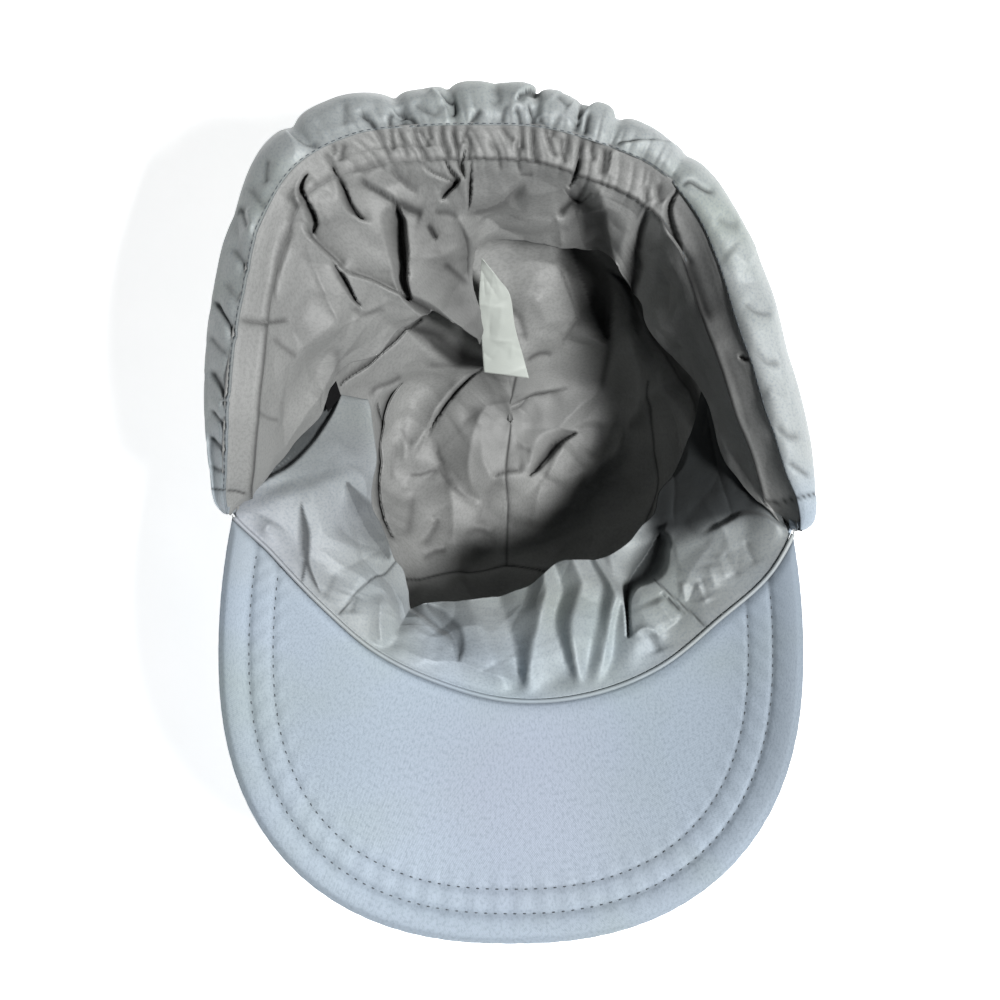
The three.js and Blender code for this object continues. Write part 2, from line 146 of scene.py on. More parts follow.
FLAP = columns("bearing outer seam casing top hem_radius hem_height", [
    [-24, 100.5, 99.3, 92, 97, 90, 92], [-20.5, 101.6, 96.8, 88, 100, 84, 88],
    [-17, 100.4, 93, 84.5, 103.5, 78, 84.5], [-12, 97.2, 86.5, 79.8, 108, 72, 81],
    [0, 92, 78, 71, 114, 65, 77], [12, 88.5, 74.2, 67.4, 118, 60.3, 75],
    [24, 89, 73.8, 66.7, 119, 56, 74], [36, 92, 77, 70, 119, 54.5, 73],
    [48, 96, 82.5, 75, 119, 60, 73], [60, 98.8, 85.7, 76.5, 119, 62.5, 73],
    [72, 99.5, 85.6, 76.3, 119, 60, 73], [84, 101.5, 86.7, 78, 119, 57.8, 73],
    [96, 104, 87.5, 79, 119, 58.8, 73], [108, 105.5, 91, 82, 119, 53, 74],
    [120, 112.5, 97, 88, 119, 46, 74], [132, 114, 99.6, 92, 119, 44, 73],
    [144, 107, 95.6, 88.7, 119, 46, 72], [156, 101.5, 90, 83, 119, 50, 71],
    [168, 97.6, 87.5, 79.5, 119, 59.5, 76], [180, 96.4, 87.5, 79.7, 117, 62.5, 79],
    [186, 96.4, 88.8, 81.3, 114, 69, 82.5], [192, 96.9, 91.2, 84, 109, 77, 87],
    [196, 97.9, 93.6, 87, 104.5, 84, 90], [201, 97.6, 96, 91, 99, 92, 93]])

LINING = columns("bearing floor floor_height radius height", [
    [0, 42, 6, 72, 66], [15, 38, 8, 72, 68], [30, 33, 11, 73, 68], [45, 29, 15, 76, 68],
    [60, 25, 20, 79, 67], [75, 20, 26, 80, 66], [90, 17, 28, 80, 66], [105, 18, 27, 78, 66],
    [120, 22, 22, 75, 65], [135, 27, 16, 72, 64], [150, 32, 11, 70, 63], [165, 36, 8, 69, 62],
    [180, 39, 6, 70, 60], [195, 42, 4, 74, 60], [210, 44, 3, 77, 62], [225, 45, 2.9, 76, 62],
    [240, 46, 2.9, 79, 62], [255, 47, 2.9, 80.5, 62], [270, 48, 2.9, 83, 62], [285, 47, 2.9, 84, 62],
    [300, 46, 2.9, 84.5, 62], [315, 45, 3, 84, 63], [330, 44, 3.5, 84, 64], [345, 44, 4.2, 76, 65]])

FACING = columns("bearing radius height", [
    [170, 49.5, 66], [177, 46.5, 67], [190, 45.5, 69], [201, 47, 70], [213, 54.5, 67], [221, 56.5, 66],
    [230, 61, 66], [235, 62, 65], [239, 66.5, 65], [242, 72.5, 65], [246, 68.5, 66], [253, 64, 66],
    [260, 61.5, 66], [266, 60, 66], [271, 57.5, 67], [276, 55.5, 67], [282, 52.5, 68], [289, 50.5, 68],
    [296, 52.5, 69], [302, 55.5, 69], [308, 56.5, 69], [314, 57, 69], [320, 56.5, 67], [326, 57.5, 65],
    [333, 56, 62], [339, 57.5, 60], [345, 58, 59], [353, 60, 60], [365, 63.5, 62], [378, 68, 66]])

# Notches that the elastic pulls into the flap's roll at the back: bearing, depth, half width
GATHERS = columns("bearing depth half_width", [
    [55.8, 1.6, 2.0], [69.8, 2.4, 1.4], [77.2, 1.8, 1.6], [85.7, 2.6, 1.2], [93, 1.2, 1.6],
    [101.3, 2.2, 1.3], [110.5, 2.8, 1.3], [127.6, 2.6, 1.5]])


def smoothstep(x, low, high):
    """0 below low, 1 above high, with an S-shaped rise between."""
    t = np.clip((x - low) / (high - low), 0, 1)
    return t * t * (3 - 2 * t)


def mix(a, b, share):
    """Straight blend from a to b."""
    return a + (b - a) * share


def bell(distance, half_width, power=2.0):
    """Bump of height 1: e to the power -(distance / half width) ** power."""
    return np.exp(-np.abs(distance / half_width) ** power)


def cubic(t, start, start_slope, end, end_slope):
    """Cubic from a start to an end with the given slopes, t from 0 to 1."""
    return ((2 * t**3 - 3 * t**2 + 1) * start + (t**3 - 2 * t**2 + t) * start_slope
            + (3 * t**2 - 2 * t**3) * end + (t**3 - t**2) * end_slope)


def spline(knots, place):
    """Smooth curve through knots at places counted in knots, each slope taken across the neighbours."""
    last = knots.shape[-2] - 1
    k = np.clip(place.astype(int), 0, last - 1)
    p0, p1, p2, p3 = (np.take(knots, np.clip(k + n, 0, last), axis=-2) for n in (-1, 0, 1, 2))
    return cubic((place - k)[:, None], p1, (p2 - p0) / 2, p2, (p3 - p1) / 2)


def running(steps):
    """Running total of steps, from 0."""
    return np.concatenate([[0], np.cumsum(steps)])


def unit(vectors):
    """Vectors along the last axis, each brought to length 1."""
    return vectors / np.maximum(np.linalg.norm(vectors, axis=-1, keepdims=True), 1e-9)


def lengths(line):
    """Length along a line at each of its points."""
    return running(np.linalg.norm(np.diff(line, axis=0), axis=1))


def points_at(wanted, places, line):
    """Points of a line at wanted places, given the places of its own points."""
    return np.stack([np.interp(wanted, places, column) for column in line.T], axis=1)


def half_wave(distance, low, high):
    """Puff between two seams: 1 in the middle, steep at both ends."""
    return np.sin(np.pi * np.clip((distance - low) / (high - low), 0, 1)).clip(0) ** 0.7


def quarter_circle(share):
    """Round rise from 0 to 1."""
    return np.sqrt(np.clip(1 - (1 - np.clip(share, 0, 1)) ** 2, 0, 1))


def along(table, column, place, closed=False):
    """Smooth curve through one column over a table's first one, each slope taken across the neighbours."""
    x, y = next(iter(table.values())), table[column]
    if closed:
        x = np.concatenate([x[-1:] - 360, x, x[:2] + 360])
        y = np.concatenate([y[-1:], y, y[:2]])
        place = np.mod(place, 360)
    slope = np.gradient(y, x)
    slope[1:-1] = (y[2:] - y[:-2]) / (x[2:] - x[:-2])
    k = np.clip(np.searchsorted(x, place, side="right") - 1, 0, len(x) - 2)
    step = x[k + 1] - x[k]
    t = np.clip((place - x[k]) / step, 0, 1)
    return cubic(t, y[k], slope[k] * step, y[k + 1], slope[k + 1] * step)


def ring(bearing, radius, height):
    """Points at a bearing, radius and height around the bowl axis."""
    turn = np.radians(bearing)
    x, y, z = np.broadcast_arrays(radius * np.cos(turn), BOWL_AXIS_Y + radius * np.sin(turn), height)
    return np.stack([x, y, z], axis=-1)


def rim_radius(bearing):
    """Crown's rim, seen from above."""
    return along(RIM, "radius", bearing, closed=True)


def rim_height(bearing):
    """Rim height: level at the back, rising with the square of x towards the temples at the front."""
    x = rim_radius(bearing) * np.cos(np.radians(bearing))
    frontness = smoothstep(-np.sin(np.radians(bearing)), 0, 0.3)
    return RIM_HEIGHT + SIDE_ARCH * (x / SIDE_REACH) ** 2 * frontness


def flat_edge(bearing):
    """Distance from the bowl axis to the edge of the resting disc, whose centre is the origin."""
    turn = np.radians(bearing)
    return np.sqrt(FLAT_RADIUS**2 - (BOWL_AXIS_Y * np.cos(turn)) ** 2) - BOWL_AXIS_Y * np.sin(turn)


def section(points, rows):
    """Smooth curve through section points given as (radius, height), for all bearings at once.

    Rows are spaced evenly along the mean section's length. Returns radius and height, one row of the
    array for each bearing.
    """
    count = max(np.size(p) for pair in points for p in pair)
    knots = np.stack([np.stack([np.broadcast_to(np.asarray(v, float), (count,)) for v in pair], axis=-1)
                      for pair in points], axis=1)
    place = np.linspace(0, 1, 400) * (len(points) - 1)
    length = running(np.linalg.norm(np.diff(spline(knots, place), axis=1), axis=2).mean(axis=0))
    found = spline(knots, np.interp(np.linspace(0, length[-1], rows), length, place))
    return found[..., 0], found[..., 1]


def normals(grid, closed=False, pole=False):
    """Unit normals of a grid: the cross product of its differences around and down, one at a pole."""
    if closed:
        around = np.roll(grid, -1, axis=0) - np.roll(grid, 1, axis=0)
    else:
        around = np.gradient(grid, axis=0)
    out = np.cross(around, np.gradient(grid, axis=1))
    if pole:
        out[:, 0] = out[:, 1].sum(axis=0)
    return unit(out)


def curve_through(path, step):
    """Dense smooth curve through a few points, spaced evenly by about a step."""
    knots = np.array(path, float)
    if len(knots) == 2:
        knots = np.array([knots[0], knots.mean(axis=0), knots[1]])
    last = len(knots) - 1
    found = spline(knots, np.linspace(0, last, 60 * last))
    length = lengths(found)
    return points_at(np.linspace(0, length[-1], max(3, int(length[-1] / step))), length, found)


def picture_place(grid):
    """Where grid points show in the picture: right and down in thousandths of its width."""
    scale = LENS * PICTURE / (CAMERA[2] - grid[..., 2])
    return np.stack([PICTURE / 2 + (grid[..., 0] - CAMERA[0]) * scale,
                     PICTURE / 2 - (grid[..., 1] - CAMERA[1]) * scale], axis=-1)


def shown(right, down, z):
    """The point at height z that shows at a picture point."""
    scale = (CAMERA[2] - z) / (LENS * PICTURE)
    return CAMERA[0] + (right - PICTURE / 2) * scale, CAMERA[1] - (down - PICTURE / 2) * scale, z


def nearest_on(line, flat):
    """Signed distance from plan points to a line, positive to its left, and the share along it."""
    a, ab = line[:-1, :2], np.diff(line[:, :2], axis=0)
    offset = flat[:, None] - a[None]
    share = np.clip((offset * ab).sum(axis=2) / (ab**2).sum(axis=1), 0, 1)
    gap = offset - share[..., None] * ab
    size = np.linalg.norm(gap, axis=2)
    pick = size.argmin(axis=1)
    rows = np.arange(len(flat))
    side = np.sign(ab[pick, 0] * gap[rows, pick, 1] - ab[pick, 1] * gap[rows, pick, 0])
    return size[rows, pick] * side, (pick + share[rows, pick]) / len(ab)


def beside(points, seen, path, step, reach):
    """The part of a sheet beside a charted path.

    A path is a list of picture points, which may carry a half width each. Every one is placed at the
    height of the sheet's topmost point that shows there. Returns the line in plan, the numbers of the
    sheet's points within reach of its bounding box, their distances and their shares along it.
    """
    plan = []
    for right, down, *width in path:
        far = np.hypot(seen[:, 0] - right, seen[:, 1] - down)
        plan.append((*shown(right, down, points[far < far.min() + 2.5, 2].max())[:2], *width))
    line, flat = curve_through(plan, step), points[:, :2]
    low, high = line[:, :2].min(axis=0) - reach, line[:, :2].max(axis=0) + reach
    near = np.flatnonzero(((flat > low) & (flat < high)).all(axis=1))
    return line, near, *nearest_on(line, flat[near])


Crease = namedtuple("Crease", "left left_width right right_width path kind", defaults=["fold"])


def crease_relief(grid, creases):
    """Height of charted creases over a grid and their darkness, painted shade and seam lines, by their curves
    seen from above.

    A row is the height and width of its left side, those of its right side, and its picture points.
    On each side of its curve a crease adds its height for that side times exp(-distance / width), and fades
    at both ends. Equal signs make a ridge or a valley; opposite signs make a lip that overhangs a crevice.
    A side that goes down gets painted shade next to the curve, more where it is deeper. A crease of the kind
    "seam" is dark along its whole length.
    """
    points = grid.reshape(-1, 3)
    seen = picture_place(points)
    relief, dark = np.zeros(len(points)), np.zeros(len(points))
    for crease in (Crease(*row) for row in creases):
        _, near, d, s = beside(points, seen, crease.path, 1.2, 5 * max(crease.left_width, crease.right_width))
        fade = smoothstep(s, 0, 0.22) * (1 - smoothstep(s, 0.78, 1))
        if crease.kind == "seam":
            dark[near] = np.maximum(dark[near], 0.85 * bell(d, 0.42))
            fade = smoothstep(s, 0, 0.05) * (1 - smoothstep(s, 0.95, 1))
        left = crease.left * np.exp(-np.abs(d) / crease.left_width)
        right = crease.right * np.exp(-np.abs(d) / crease.right_width)
        blend = 0.25 + 0.13 * abs(crease.left - crease.right)
        relief[near] += mix(right, left, smoothstep(d, -blend, blend)) * fade
        width = np.where(d > 0, crease.left_width, crease.right_width) * 0.42 + 0.2
        depth = np.where(d > 0, -crease.left, -crease.right)
        strength = np.clip(depth / 2.4, 0, 1) * np.clip(1.0 / width, 0.3, 0.95)
        dark[near] = np.maximum(dark[near], strength * bell(d, width) * fade)
    return relief.reshape(grid.shape[:2]), dark.reshape(grid.shape[:2])


def cleft_relief(grid, clefts):
    """Height and painted shade of charted clefts: a steep wall towards the light with painted shade, and a
    slope facing it.

    A row is the depth, the strength of the painted shade and a list of picture points, each with the cleft's
    half width there.
    A row of depth 0 is a wash of painted shade alone.
    """
    points = grid.reshape(-1, 3)
    seen = picture_place(points)
    relief, dark = np.zeros(len(points)), np.zeros(len(points))
    for depth, darkness, path in clefts:
        line, near, d, s = beside(points, seen, path, 1.0, 14)
        even = np.linspace(0, 1, len(line))
        way = unit(np.gradient(line[:, :2], axis=0))
        lean = np.interp(s, even, way[:, 0] * LIGHT_WAY[1] - way[:, 1] * LIGHT_WAY[0])
        steep = np.clip(0.5 + 0.8 * np.sign(d) * lean, 0, 1)
        width = np.interp(s, even, np.maximum(line[:, 2], 0.05))
        size = np.clip(width / 0.6, 0, 1)
        share = np.abs(d) / np.maximum(width, 0.45)
        trench = depth * (1 - smoothstep(share, mix(0.0, 0.5, steep), mix(2.0, 1.25, steep))) * size
        rim = CLEFT_RIM * np.minimum(depth / 4, 1) * np.clip(width, 0, 1) * np.exp(-np.abs(d) / 3)
        relief[near] += rim * mix(1.2, 0.7, steep) - trench
        fall = 1 - smoothstep(share, mix(-0.2, 0.7, steep), mix(1.3, 1.25, steep))
        dark[near] = np.maximum(dark[near], darkness * size * fall * mix(0.85, 1.0, steep))
    return relief.reshape(grid.shape[:2]), dark.reshape(grid.shape[:2])


def charted_folds(grid, creases, clefts):
    """Charted creases and clefts of one sheet: the height of each, and the painted shade and seam lines of
    both.
    """
    folds, dark = crease_relief(grid, creases)
    trenches, cleft_dark = cleft_relief(grid, clefts)
    return folds, trenches, np.maximum(dark, cleft_dark)


def calm_pole(relief, rows=10):
    """Relief whose first rows run into one height at the pole."""
    share = np.clip(np.arange(relief.shape[1]) / rows, 0, 1)
    return mix(relief[:, rows].mean(), relief, share)


def fan_relief(grid, lines):
    """Flat facets between fold lines that run down a grid side by side, each line with its height.

    Every line is charted as picture points. In each row of the grid the height goes straight from one
    line to the next, so that the cloth bends at the lines only.
    """
    around, rows = grid.shape[:2]
    seen = picture_place(grid).reshape(-1, 2)
    row_numbers = np.arange(rows)
    columns_at = []
    for _, path in lines:
        line = curve_through(path, 2.0)
        nearest = [np.hypot(seen[:, 0] - right, seen[:, 1] - down).argmin() for right, down in line]
        column, row = np.divmod(np.array(nearest), rows)
        order = np.argsort(row, kind="stable")
        columns_at.append(np.interp(row_numbers, row[order], column[order]))
    columns_at = np.array(columns_at)
    heights = np.array([height for height, _ in lines])
    relief = np.zeros((around, rows))
    for k in row_numbers:
        order = np.argsort(columns_at[:, k])
        relief[:, k] = np.interp(np.arange(around), columns_at[order, k], heights[order])
    return relief


def facets(grid, seed, count, reach):
    """Crumpled facets about 1 high: the least of many stretched distances to random points of the grid."""
    rng = np.random.default_rng(seed)
    points = grid.reshape(-1, 3)
    centres = points[rng.integers(len(points), size=count)]
    least = np.full(len(points), 1e9)
    for centre in centres:
        way = unit(rng.normal(size=3))
        offset = points - centre
        square = np.einsum("ij,ij->i", offset, offset) + rng.uniform(1, 5) * (offset @ way) ** 2
        least = np.minimum(least, np.sqrt(square / reach**2 + 0.04) + rng.uniform(0, 0.5))
    return (least - least.mean()).reshape(grid.shape[:2])


def softened(relief, passes, closed=False):
    """Relief smoothed over its neighbours, each pass a quarter, a half and a quarter both ways."""
    for _ in range(passes):
        wide = np.pad(relief, ((1, 1), (0, 0)), mode="wrap" if closed else "edge")
        relief = (wide[:-2] + 2 * wide[1:-1] + wide[2:]) / 4
        wide = np.pad(relief, ((0, 0), (1, 1)), mode="edge")
        relief = (wide[:, :-2] + 2 * wide[:, 1:-1] + wide[:, 2:]) / 4
    return relief


def contour(field, level, grid):
    """Line where a field over a grid first crosses a level, column by column."""
    above = field > level
    change = above[:, 1:] != above[:, :-1]
    rows = np.flatnonzero(change.any(axis=1))
    k = change[rows].argmax(axis=1)
    a, b = field[rows, k], field[rows, k + 1]
    t = ((level - a) / (b - a))[:, None]
    return mix(grid[rows, k], grid[rows, k + 1], t)


def crumple(grid, seed, count, length, height, width):
    """Random short creases of thin cloth: ridges and valleys on little planes through points of the grid."""
    rng = np.random.default_rng(seed)
    points = grid.reshape(-1, 3)
    centres = points[rng.integers(len(points), size=count)]
    relief = np.zeros(len(points))
    for centre in centres:
        line = unit(rng.normal(size=3))
        across = unit(np.cross(line, rng.normal(size=3)))
        reach = length * rng.uniform(0.5, 1.5)
        offset = points - centre
        near = np.exp(-(np.einsum("ij,ij->i", offset, offset) / reach**2) ** 2)
        size = height * rng.uniform(0.4, 1.3) * rng.choice([-1, 1])
        relief += size * near * bell(offset @ across, width * rng.uniform(0.6, 1.5), 1.15)
    return relief.reshape(grid.shape[:2])


def ripple(grid, seed, size):
    """Soft random waves, a sum of sines in random directions, about 1 high."""
    rng = np.random.default_rng(seed)
    total = np.zeros(grid.shape[:2])
    for _ in range(14):
        way = unit(rng.normal(size=3)) * (2 * np.pi / (size * rng.uniform(0.6, 1.7)))
        total += np.sin(grid @ way + rng.uniform(0, 2 * np.pi))
    return total / 3.5


def creased(grid, seed, size):
    """Long crisp folds about 1 high: one set of waves folded up at its zero lines, another folded down."""
    return np.abs(ripple(grid, seed, size)) - np.abs(ripple(grid, seed + 100, size * 1.3))


def mesh_piece(name, front, back, finish, replaces, closed=False, pole=False, shade=None):
    """A closed body between a front and a back grid, in millimetres, with UVs in metres along the cloth.

    closed joins the last column to the first, and pole makes the first row one point. shade is a number
    for each grid point that the finish reads: above 0 it darkens seam lines and paints shade into creases,
    clefts and hollows.
    """
    around, down = front.shape[:2]
    ids = np.arange(around * down).reshape(around, down)
    if pole:
        ids[:, 0] = ids[0, 0]
    far = ids + around * down
    here = np.arange(around if closed else around - 1)
    after = (here + 1) % around
    near_next, far_next = ids[after], far[after]
    near_here, far_here = ids[here], far[here]

    def quads(*corners):
        return np.stack([np.ravel(corner) for corner in corners], axis=1)

    faces = [quads(near_here[:, :-1], near_next[:, :-1], near_next[:, 1:], near_here[:, 1:]),
             quads(far_here[:, 1:], far_next[:, 1:], far_next[:, :-1], far_here[:, :-1]),
             quads(near_here[:, -1], near_next[:, -1], far_next[:, -1], far_here[:, -1])]
    if not pole:
        faces.append(quads(far_here[:, 0], far_next[:, 0], near_next[:, 0], near_here[:, 0]))
    if not closed:
        faces.append(quads(ids[0, :-1], ids[0, 1:], far[0, 1:], far[0, :-1]))
        faces.append(quads(ids[-1, 1:], ids[-1, :-1], far[-1, :-1], far[-1, 1:]))
    quad = np.concatenate(faces)
    points = np.concatenate([front.reshape(-1, 3), back.reshape(-1, 3)]) * MM
    used = np.unique(quad)
    renumber = np.zeros(len(points), int)
    renumber[used] = np.arange(len(used))
    flat = np.where(quad == np.roll(quad, -1, axis=1), -1, quad)
    loops = renumber[flat[flat >= 0]]
    sizes = (flat >= 0).sum(axis=1)
    data = bpy.data.meshes.new(name)
    data.vertices.add(len(used))
    data.vertices.foreach_set("co", points[used].ravel())
    data.loops.add(len(loops))
    data.loops.foreach_set("vertex_index", loops)
    data.polygons.add(len(sizes))
    data.polygons.foreach_set("loop_start", running(sizes[:-1]))
    data.polygons.foreach_set("loop_total", sizes)
    data.update(calc_edges=True)
    data.shade_smooth()
    u = running(np.linalg.norm(np.diff(front, axis=0), axis=2).mean(axis=1)) * MM
    v = running(np.linalg.norm(np.diff(front, axis=1), axis=2).mean(axis=0)) * MM
    uv = np.stack(np.meshgrid(u, v, indexing="ij"), axis=-1).reshape(-1, 2)
    uv = np.tile(uv, (2, 1))[used]
    layer = data.uv_layers.new(name="cloth")
    layer.data.foreach_set("uv", uv[loops].ravel())
    dark = np.zeros(front.shape[:2]) if shade is None else np.clip(shade, -1, 1)
    store = data.attributes.new("shade", "FLOAT", "POINT")
    store.data.foreach_set("value", np.tile(dark.ravel(), 2)[used].astype(np.float32))
    data.validate()
    return dress(bpy.data.objects.new(name, data), finish, replaces)


def dress(piece, finish, replaces=()):
    """Links a piece to the scene with its finish and body, and hides the node it stands for."""
    bpy.context.scene.collection.objects.link(piece)
    piece.data.materials.append(finish)
    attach(piece, "root")
    if replaces:
        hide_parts(*replaces)
    return piece


class Wire:
    """A node's output. Arithmetic on wires adds Math nodes."""

    def __init__(self, finish, socket):
        self.finish, self.socket = finish, socket

    def _math(self, operation, a, b=0.0):
        return self.finish.node("ShaderNodeMath", {"operation": operation}, {0: a, 1: b})

    def __add__(self, other):
        return self._math("ADD", self, other)

    __radd__ = __add__

    def __sub__(self, other):
        return self._math("SUBTRACT", self, other)

    def __rsub__(self, other):
        return self._math("SUBTRACT", other, self)

    def __mul__(self, other):
        return self._math("MULTIPLY", self, other)

    __rmul__ = __mul__

    def clamped(self, low=0.0, high=1.0):
        return self._math("MINIMUM", self._math("MAXIMUM", self, low), high)


class Finish:
    """A material under construction."""

    def __init__(self, name):
        self.material = bpy.data.materials.new(name)
        self.material.use_nodes = True
        self.tree = self.material.node_tree
        self.shader = self.tree.nodes["Principled BSDF"]

    def node(self, kind, settings=None, inputs=None, output=0):
        """Adds any node: its settings first, then the values or links of its sockets."""
        made = self.tree.nodes.new(kind)
        for key, value in (settings or {}).items():
            if key == "stops":
                elements = made.color_ramp.elements
                while len(elements) < len(value):
                    elements.new(1.0)
                for element, (place, colour) in zip(elements, value):
                    element.position, element.color = place, (*colour, 1)
            else:
                setattr(made, key, value)
        for key, value in (inputs or {}).items():
            self.plug(made.inputs[key], value)
        return Wire(self, made.outputs[output])

    def plug(self, socket, value):
        if isinstance(value, Wire):
            self.tree.links.new(value.socket, socket)
        else:
            socket.default_value = value

    def surface(self, **values):
        """Sets the shader's sockets, named with underscores."""
        for key, value in values.items():
            self.plug(self.shader.inputs[key.replace("_", " ").title().replace("Ior", "IOR")], value)
        return self.material

    def place(self):
        return self.node("ShaderNodeTexCoord", output="Object")

    def cloth_place(self):
        return self.node("ShaderNodeUVMap", {"uv_map": "cloth"})

    def noise(self, vector, scale, detail=3.0, roughness=0.5, stretch=(1, 1, 1)):
        moved = self.node("ShaderNodeMapping", {}, {"Vector": vector, "Scale": stretch})
        return self.node("ShaderNodeTexNoise", {}, {
            "Vector": moved, "Scale": scale, "Detail": detail, "Roughness": roughness})

    def mixed(self, share, a, b, blend="MIX"):
        return self.node("ShaderNodeMix", {"data_type": "RGBA", "blend_type": blend},
                         {"Factor": share, 6: a, 7: b}, output=2)

    def bumped(self, height, strength, distance, normal=None):
        inputs = {"Height": height, "Strength": strength, "Distance": distance}
        if normal is not None:
            inputs["Normal"] = normal
        return self.node("ShaderNodeBump", {}, inputs)

    def distance(self, vector, spot):
        return self.node("ShaderNodeVectorMath", {"operation": "DISTANCE"}, {0: vector, 1: spot},
                         output="Value")

    def part(self, vector, axis):
        return self.node("ShaderNodeSeparateXYZ", {}, {0: vector}, output=axis)

    def wave(self, operation, value):
        return self.node("ShaderNodeMath", {"operation": operation}, {0: value})

    def shade(self):
        return self.node("ShaderNodeAttribute", {"attribute_name": "shade"}, output="Fac").clamped()

    def speckled(self, colour, scale, most, fleck):
        """A colour with fine flecks of another one, most of it at their middle."""
        fine = self.noise(self.cloth_place(), scale, 2, 0.7)
        return self.mixed(((fine - 0.45) * 1.6).clamped(0, most), colour, fleck)


def rgb(red, green, blue):
    """Colour from 0-255 display values to linear light."""
    values = np.array([red, green, blue]) / 255
    linear = np.where(values <= 0.04045, values / 12.92, ((values + 0.055) / 1.055) ** 2.4)
    return (*[float(v) for v in linear], 1.0)


def woven(finish, pitch, slub):
    """Height of a plain weave: threads of the pitch in metres both ways, with streaky slubs."""
    cloth = finish.cloth_place()
    warp, weft = (finish.wave("SINE", finish.part(cloth, axis) * (2 * np.pi / pitch)) for axis in "XY")
    long_slubs = finish.noise(cloth, slub, 3, 0.6, (1.0, 14.0, 1.0))
    cross_slubs = finish.noise(cloth, slub, 3, 0.6, (14.0, 1.0, 1.0))
    return warp * weft * 0.5 + long_slubs * 1.1 + cross_slubs * 1.1


def crumpled(finish, scale, strength):
    """Normal of small sharp creases, where a soft noise crosses its middle."""
    fold = finish.noise(finish.place(), scale, 2.5, 0.5) - 0.5
    return finish.bumped(finish.wave("ABSOLUTE", fold), strength, 0.0022)


def outer_finish(name, grey_from=-0.05, spot=PEAK_SHEEN_SPOT, crumples=0.0):
    """Satin taffeta, silver-blue on the peak and grey-green behind a place along Y, with drifting tints and a
    painted lilac sheen around a spot.
    """
    f = Finish(name)
    place = f.place()
    uneven = (f.noise(place, 26, 2, 0.5) - 0.5) * 1.2
    back = ((f.part(place, "Y") - grey_from) * 18 + uneven).clamped()
    silver = f.mixed(back, rgb(164, 177, 190), rgb(166, 171, 171))
    lilac = f.mixed(back, rgb(167, 176, 192), rgb(164, 168, 178))
    sage = f.mixed(back, rgb(158, 171, 173), rgb(158, 166, 160))
    drift = f.noise(place, 9, 2, 0.5)
    other = f.noise(place, 14, 3, 0.55, (1.0, 1.4, 1.0))
    # painted lilac sheen, strongest at the spot, mixed with random drifting tints
    painted_sheen = 1.0 - f.distance(place, spot) * (1 / SPOT_REACH)
    tint_and_sheen_share = (painted_sheen * 0.9 + (drift - 0.5) * 2.4).clamped(0, 0.85)
    sage_share = ((other - 0.47) * 3.5).clamped(0, 0.75)
    colour = f.mixed(tint_and_sheen_share, f.mixed(sage_share, silver, sage), lilac)
    # darker seam and stitch lines, and painted shade in creases, clefts and hollows, read from the shade
    # attribute
    dark = f.shade()
    colour = f.mixed(dark * 0.94, f.speckled(colour, 1100, 0.35, rgb(112, 124, 136)), rgb(30, 33, 35))
    weave = woven(f, OUTER_WEAVE, 260)
    mottled = f.noise(place, 420, 3, 0.6)
    bump = f.bumped(mottled, 0.2, 0.00035, f.bumped(weave, 0.2, 0.00018, crumpled(f, 40, crumples)))
    rough = 0.5 + 0.12 * drift + 0.3 * dark
    return f.surface(base_color=colour, roughness=rough, metallic=0.12, normal=bump,
                     sheen_weight=0.15, sheen_roughness=0.4, specular_ior_level=0.35)


def lining_finish(name):
    """Thin neutral grey nylon lining with a dull shine, darker stitched seams and painted shade in its
    creases, clefts and pockets.
    """
    f = Finish(name)
    place = f.place()
    drift = f.noise(place, 22, 3, 0.5)
    colour = f.mixed((drift * 1.6 - 0.45).clamped(), rgb(133, 134, 133), rgb(150, 151, 149))
    # darker seam lines, and painted shade in creases, clefts and pockets, read from the shade attribute
    dark = f.shade()
    colour = f.mixed(dark * 0.9, f.speckled(colour, 900, 0.25, rgb(96, 97, 97)), rgb(26, 26, 26))
    woven_bump = f.bumped(woven(f, LINING_WEAVE, 300), 0.16, 0.00014, crumpled(f, 34, 0.9))
    bump = f.bumped(f.noise(place, 380, 3, 0.6), 0.2, 0.0003, woven_bump)
    rough = 0.45 + 0.14 * drift + 0.25 * dark
    return f.surface(base_color=colour, roughness=rough, metallic=0.0, normal=bump,
                     sheen_weight=0.1, sheen_roughness=0.4, specular_ior_level=0.38)


def ribbon_finish(name):
    """Off-white satin ribbon with a soft weave."""
    f = Finish(name)
    cloth = f.cloth_place()
    base = f.mixed(f.noise(f.place(), 60, 2, 0.5), rgb(196, 201, 195), rgb(176, 182, 176))
    soft = f.bumped(f.noise(cloth, 120, 3, 0.6), 0.3, 0.0004)
    bump = f.bumped(woven(f, RIBBON_WEAVE, 400), 0.2, 0.0001, soft)
    return f.surface(base_color=base, roughness=0.38 + 0.1 * f.noise(cloth, 200, 2, 0.5), normal=bump,
                     sheen_weight=0.2)


def tape_finish(name):
    """Black woven tape."""
    f = Finish(name)
    colour = f.mixed(f.noise(f.cloth_place(), 700, 2, 0.6), rgb(7, 7, 8), rgb(20, 20, 22))
    bump = f.bumped(woven(f, TAPE_WEAVE, 300), 0.5, 0.0002)
    return f.surface(base_color=colour, roughness=0.75 + 0.2 * f.noise(f.place(), 300, 2, 0.5), normal=bump,
                     specular_ior_level=0.15)


def thread_finish(name, low, high):
    """Twisted sewing thread between two colours."""
    f = Finish(name)
    colour = f.mixed(f.noise(f.place(), 900, 2, 0.6), low, high)
    bump = f.bumped(f.noise(f.place(), 2400, 1, 0.5), 0.4, 0.0001)
    return f.surface(base_color=colour, roughness=0.55 + 0.2 * f.noise(f.place(), 500, 1, 0.5), normal=bump)


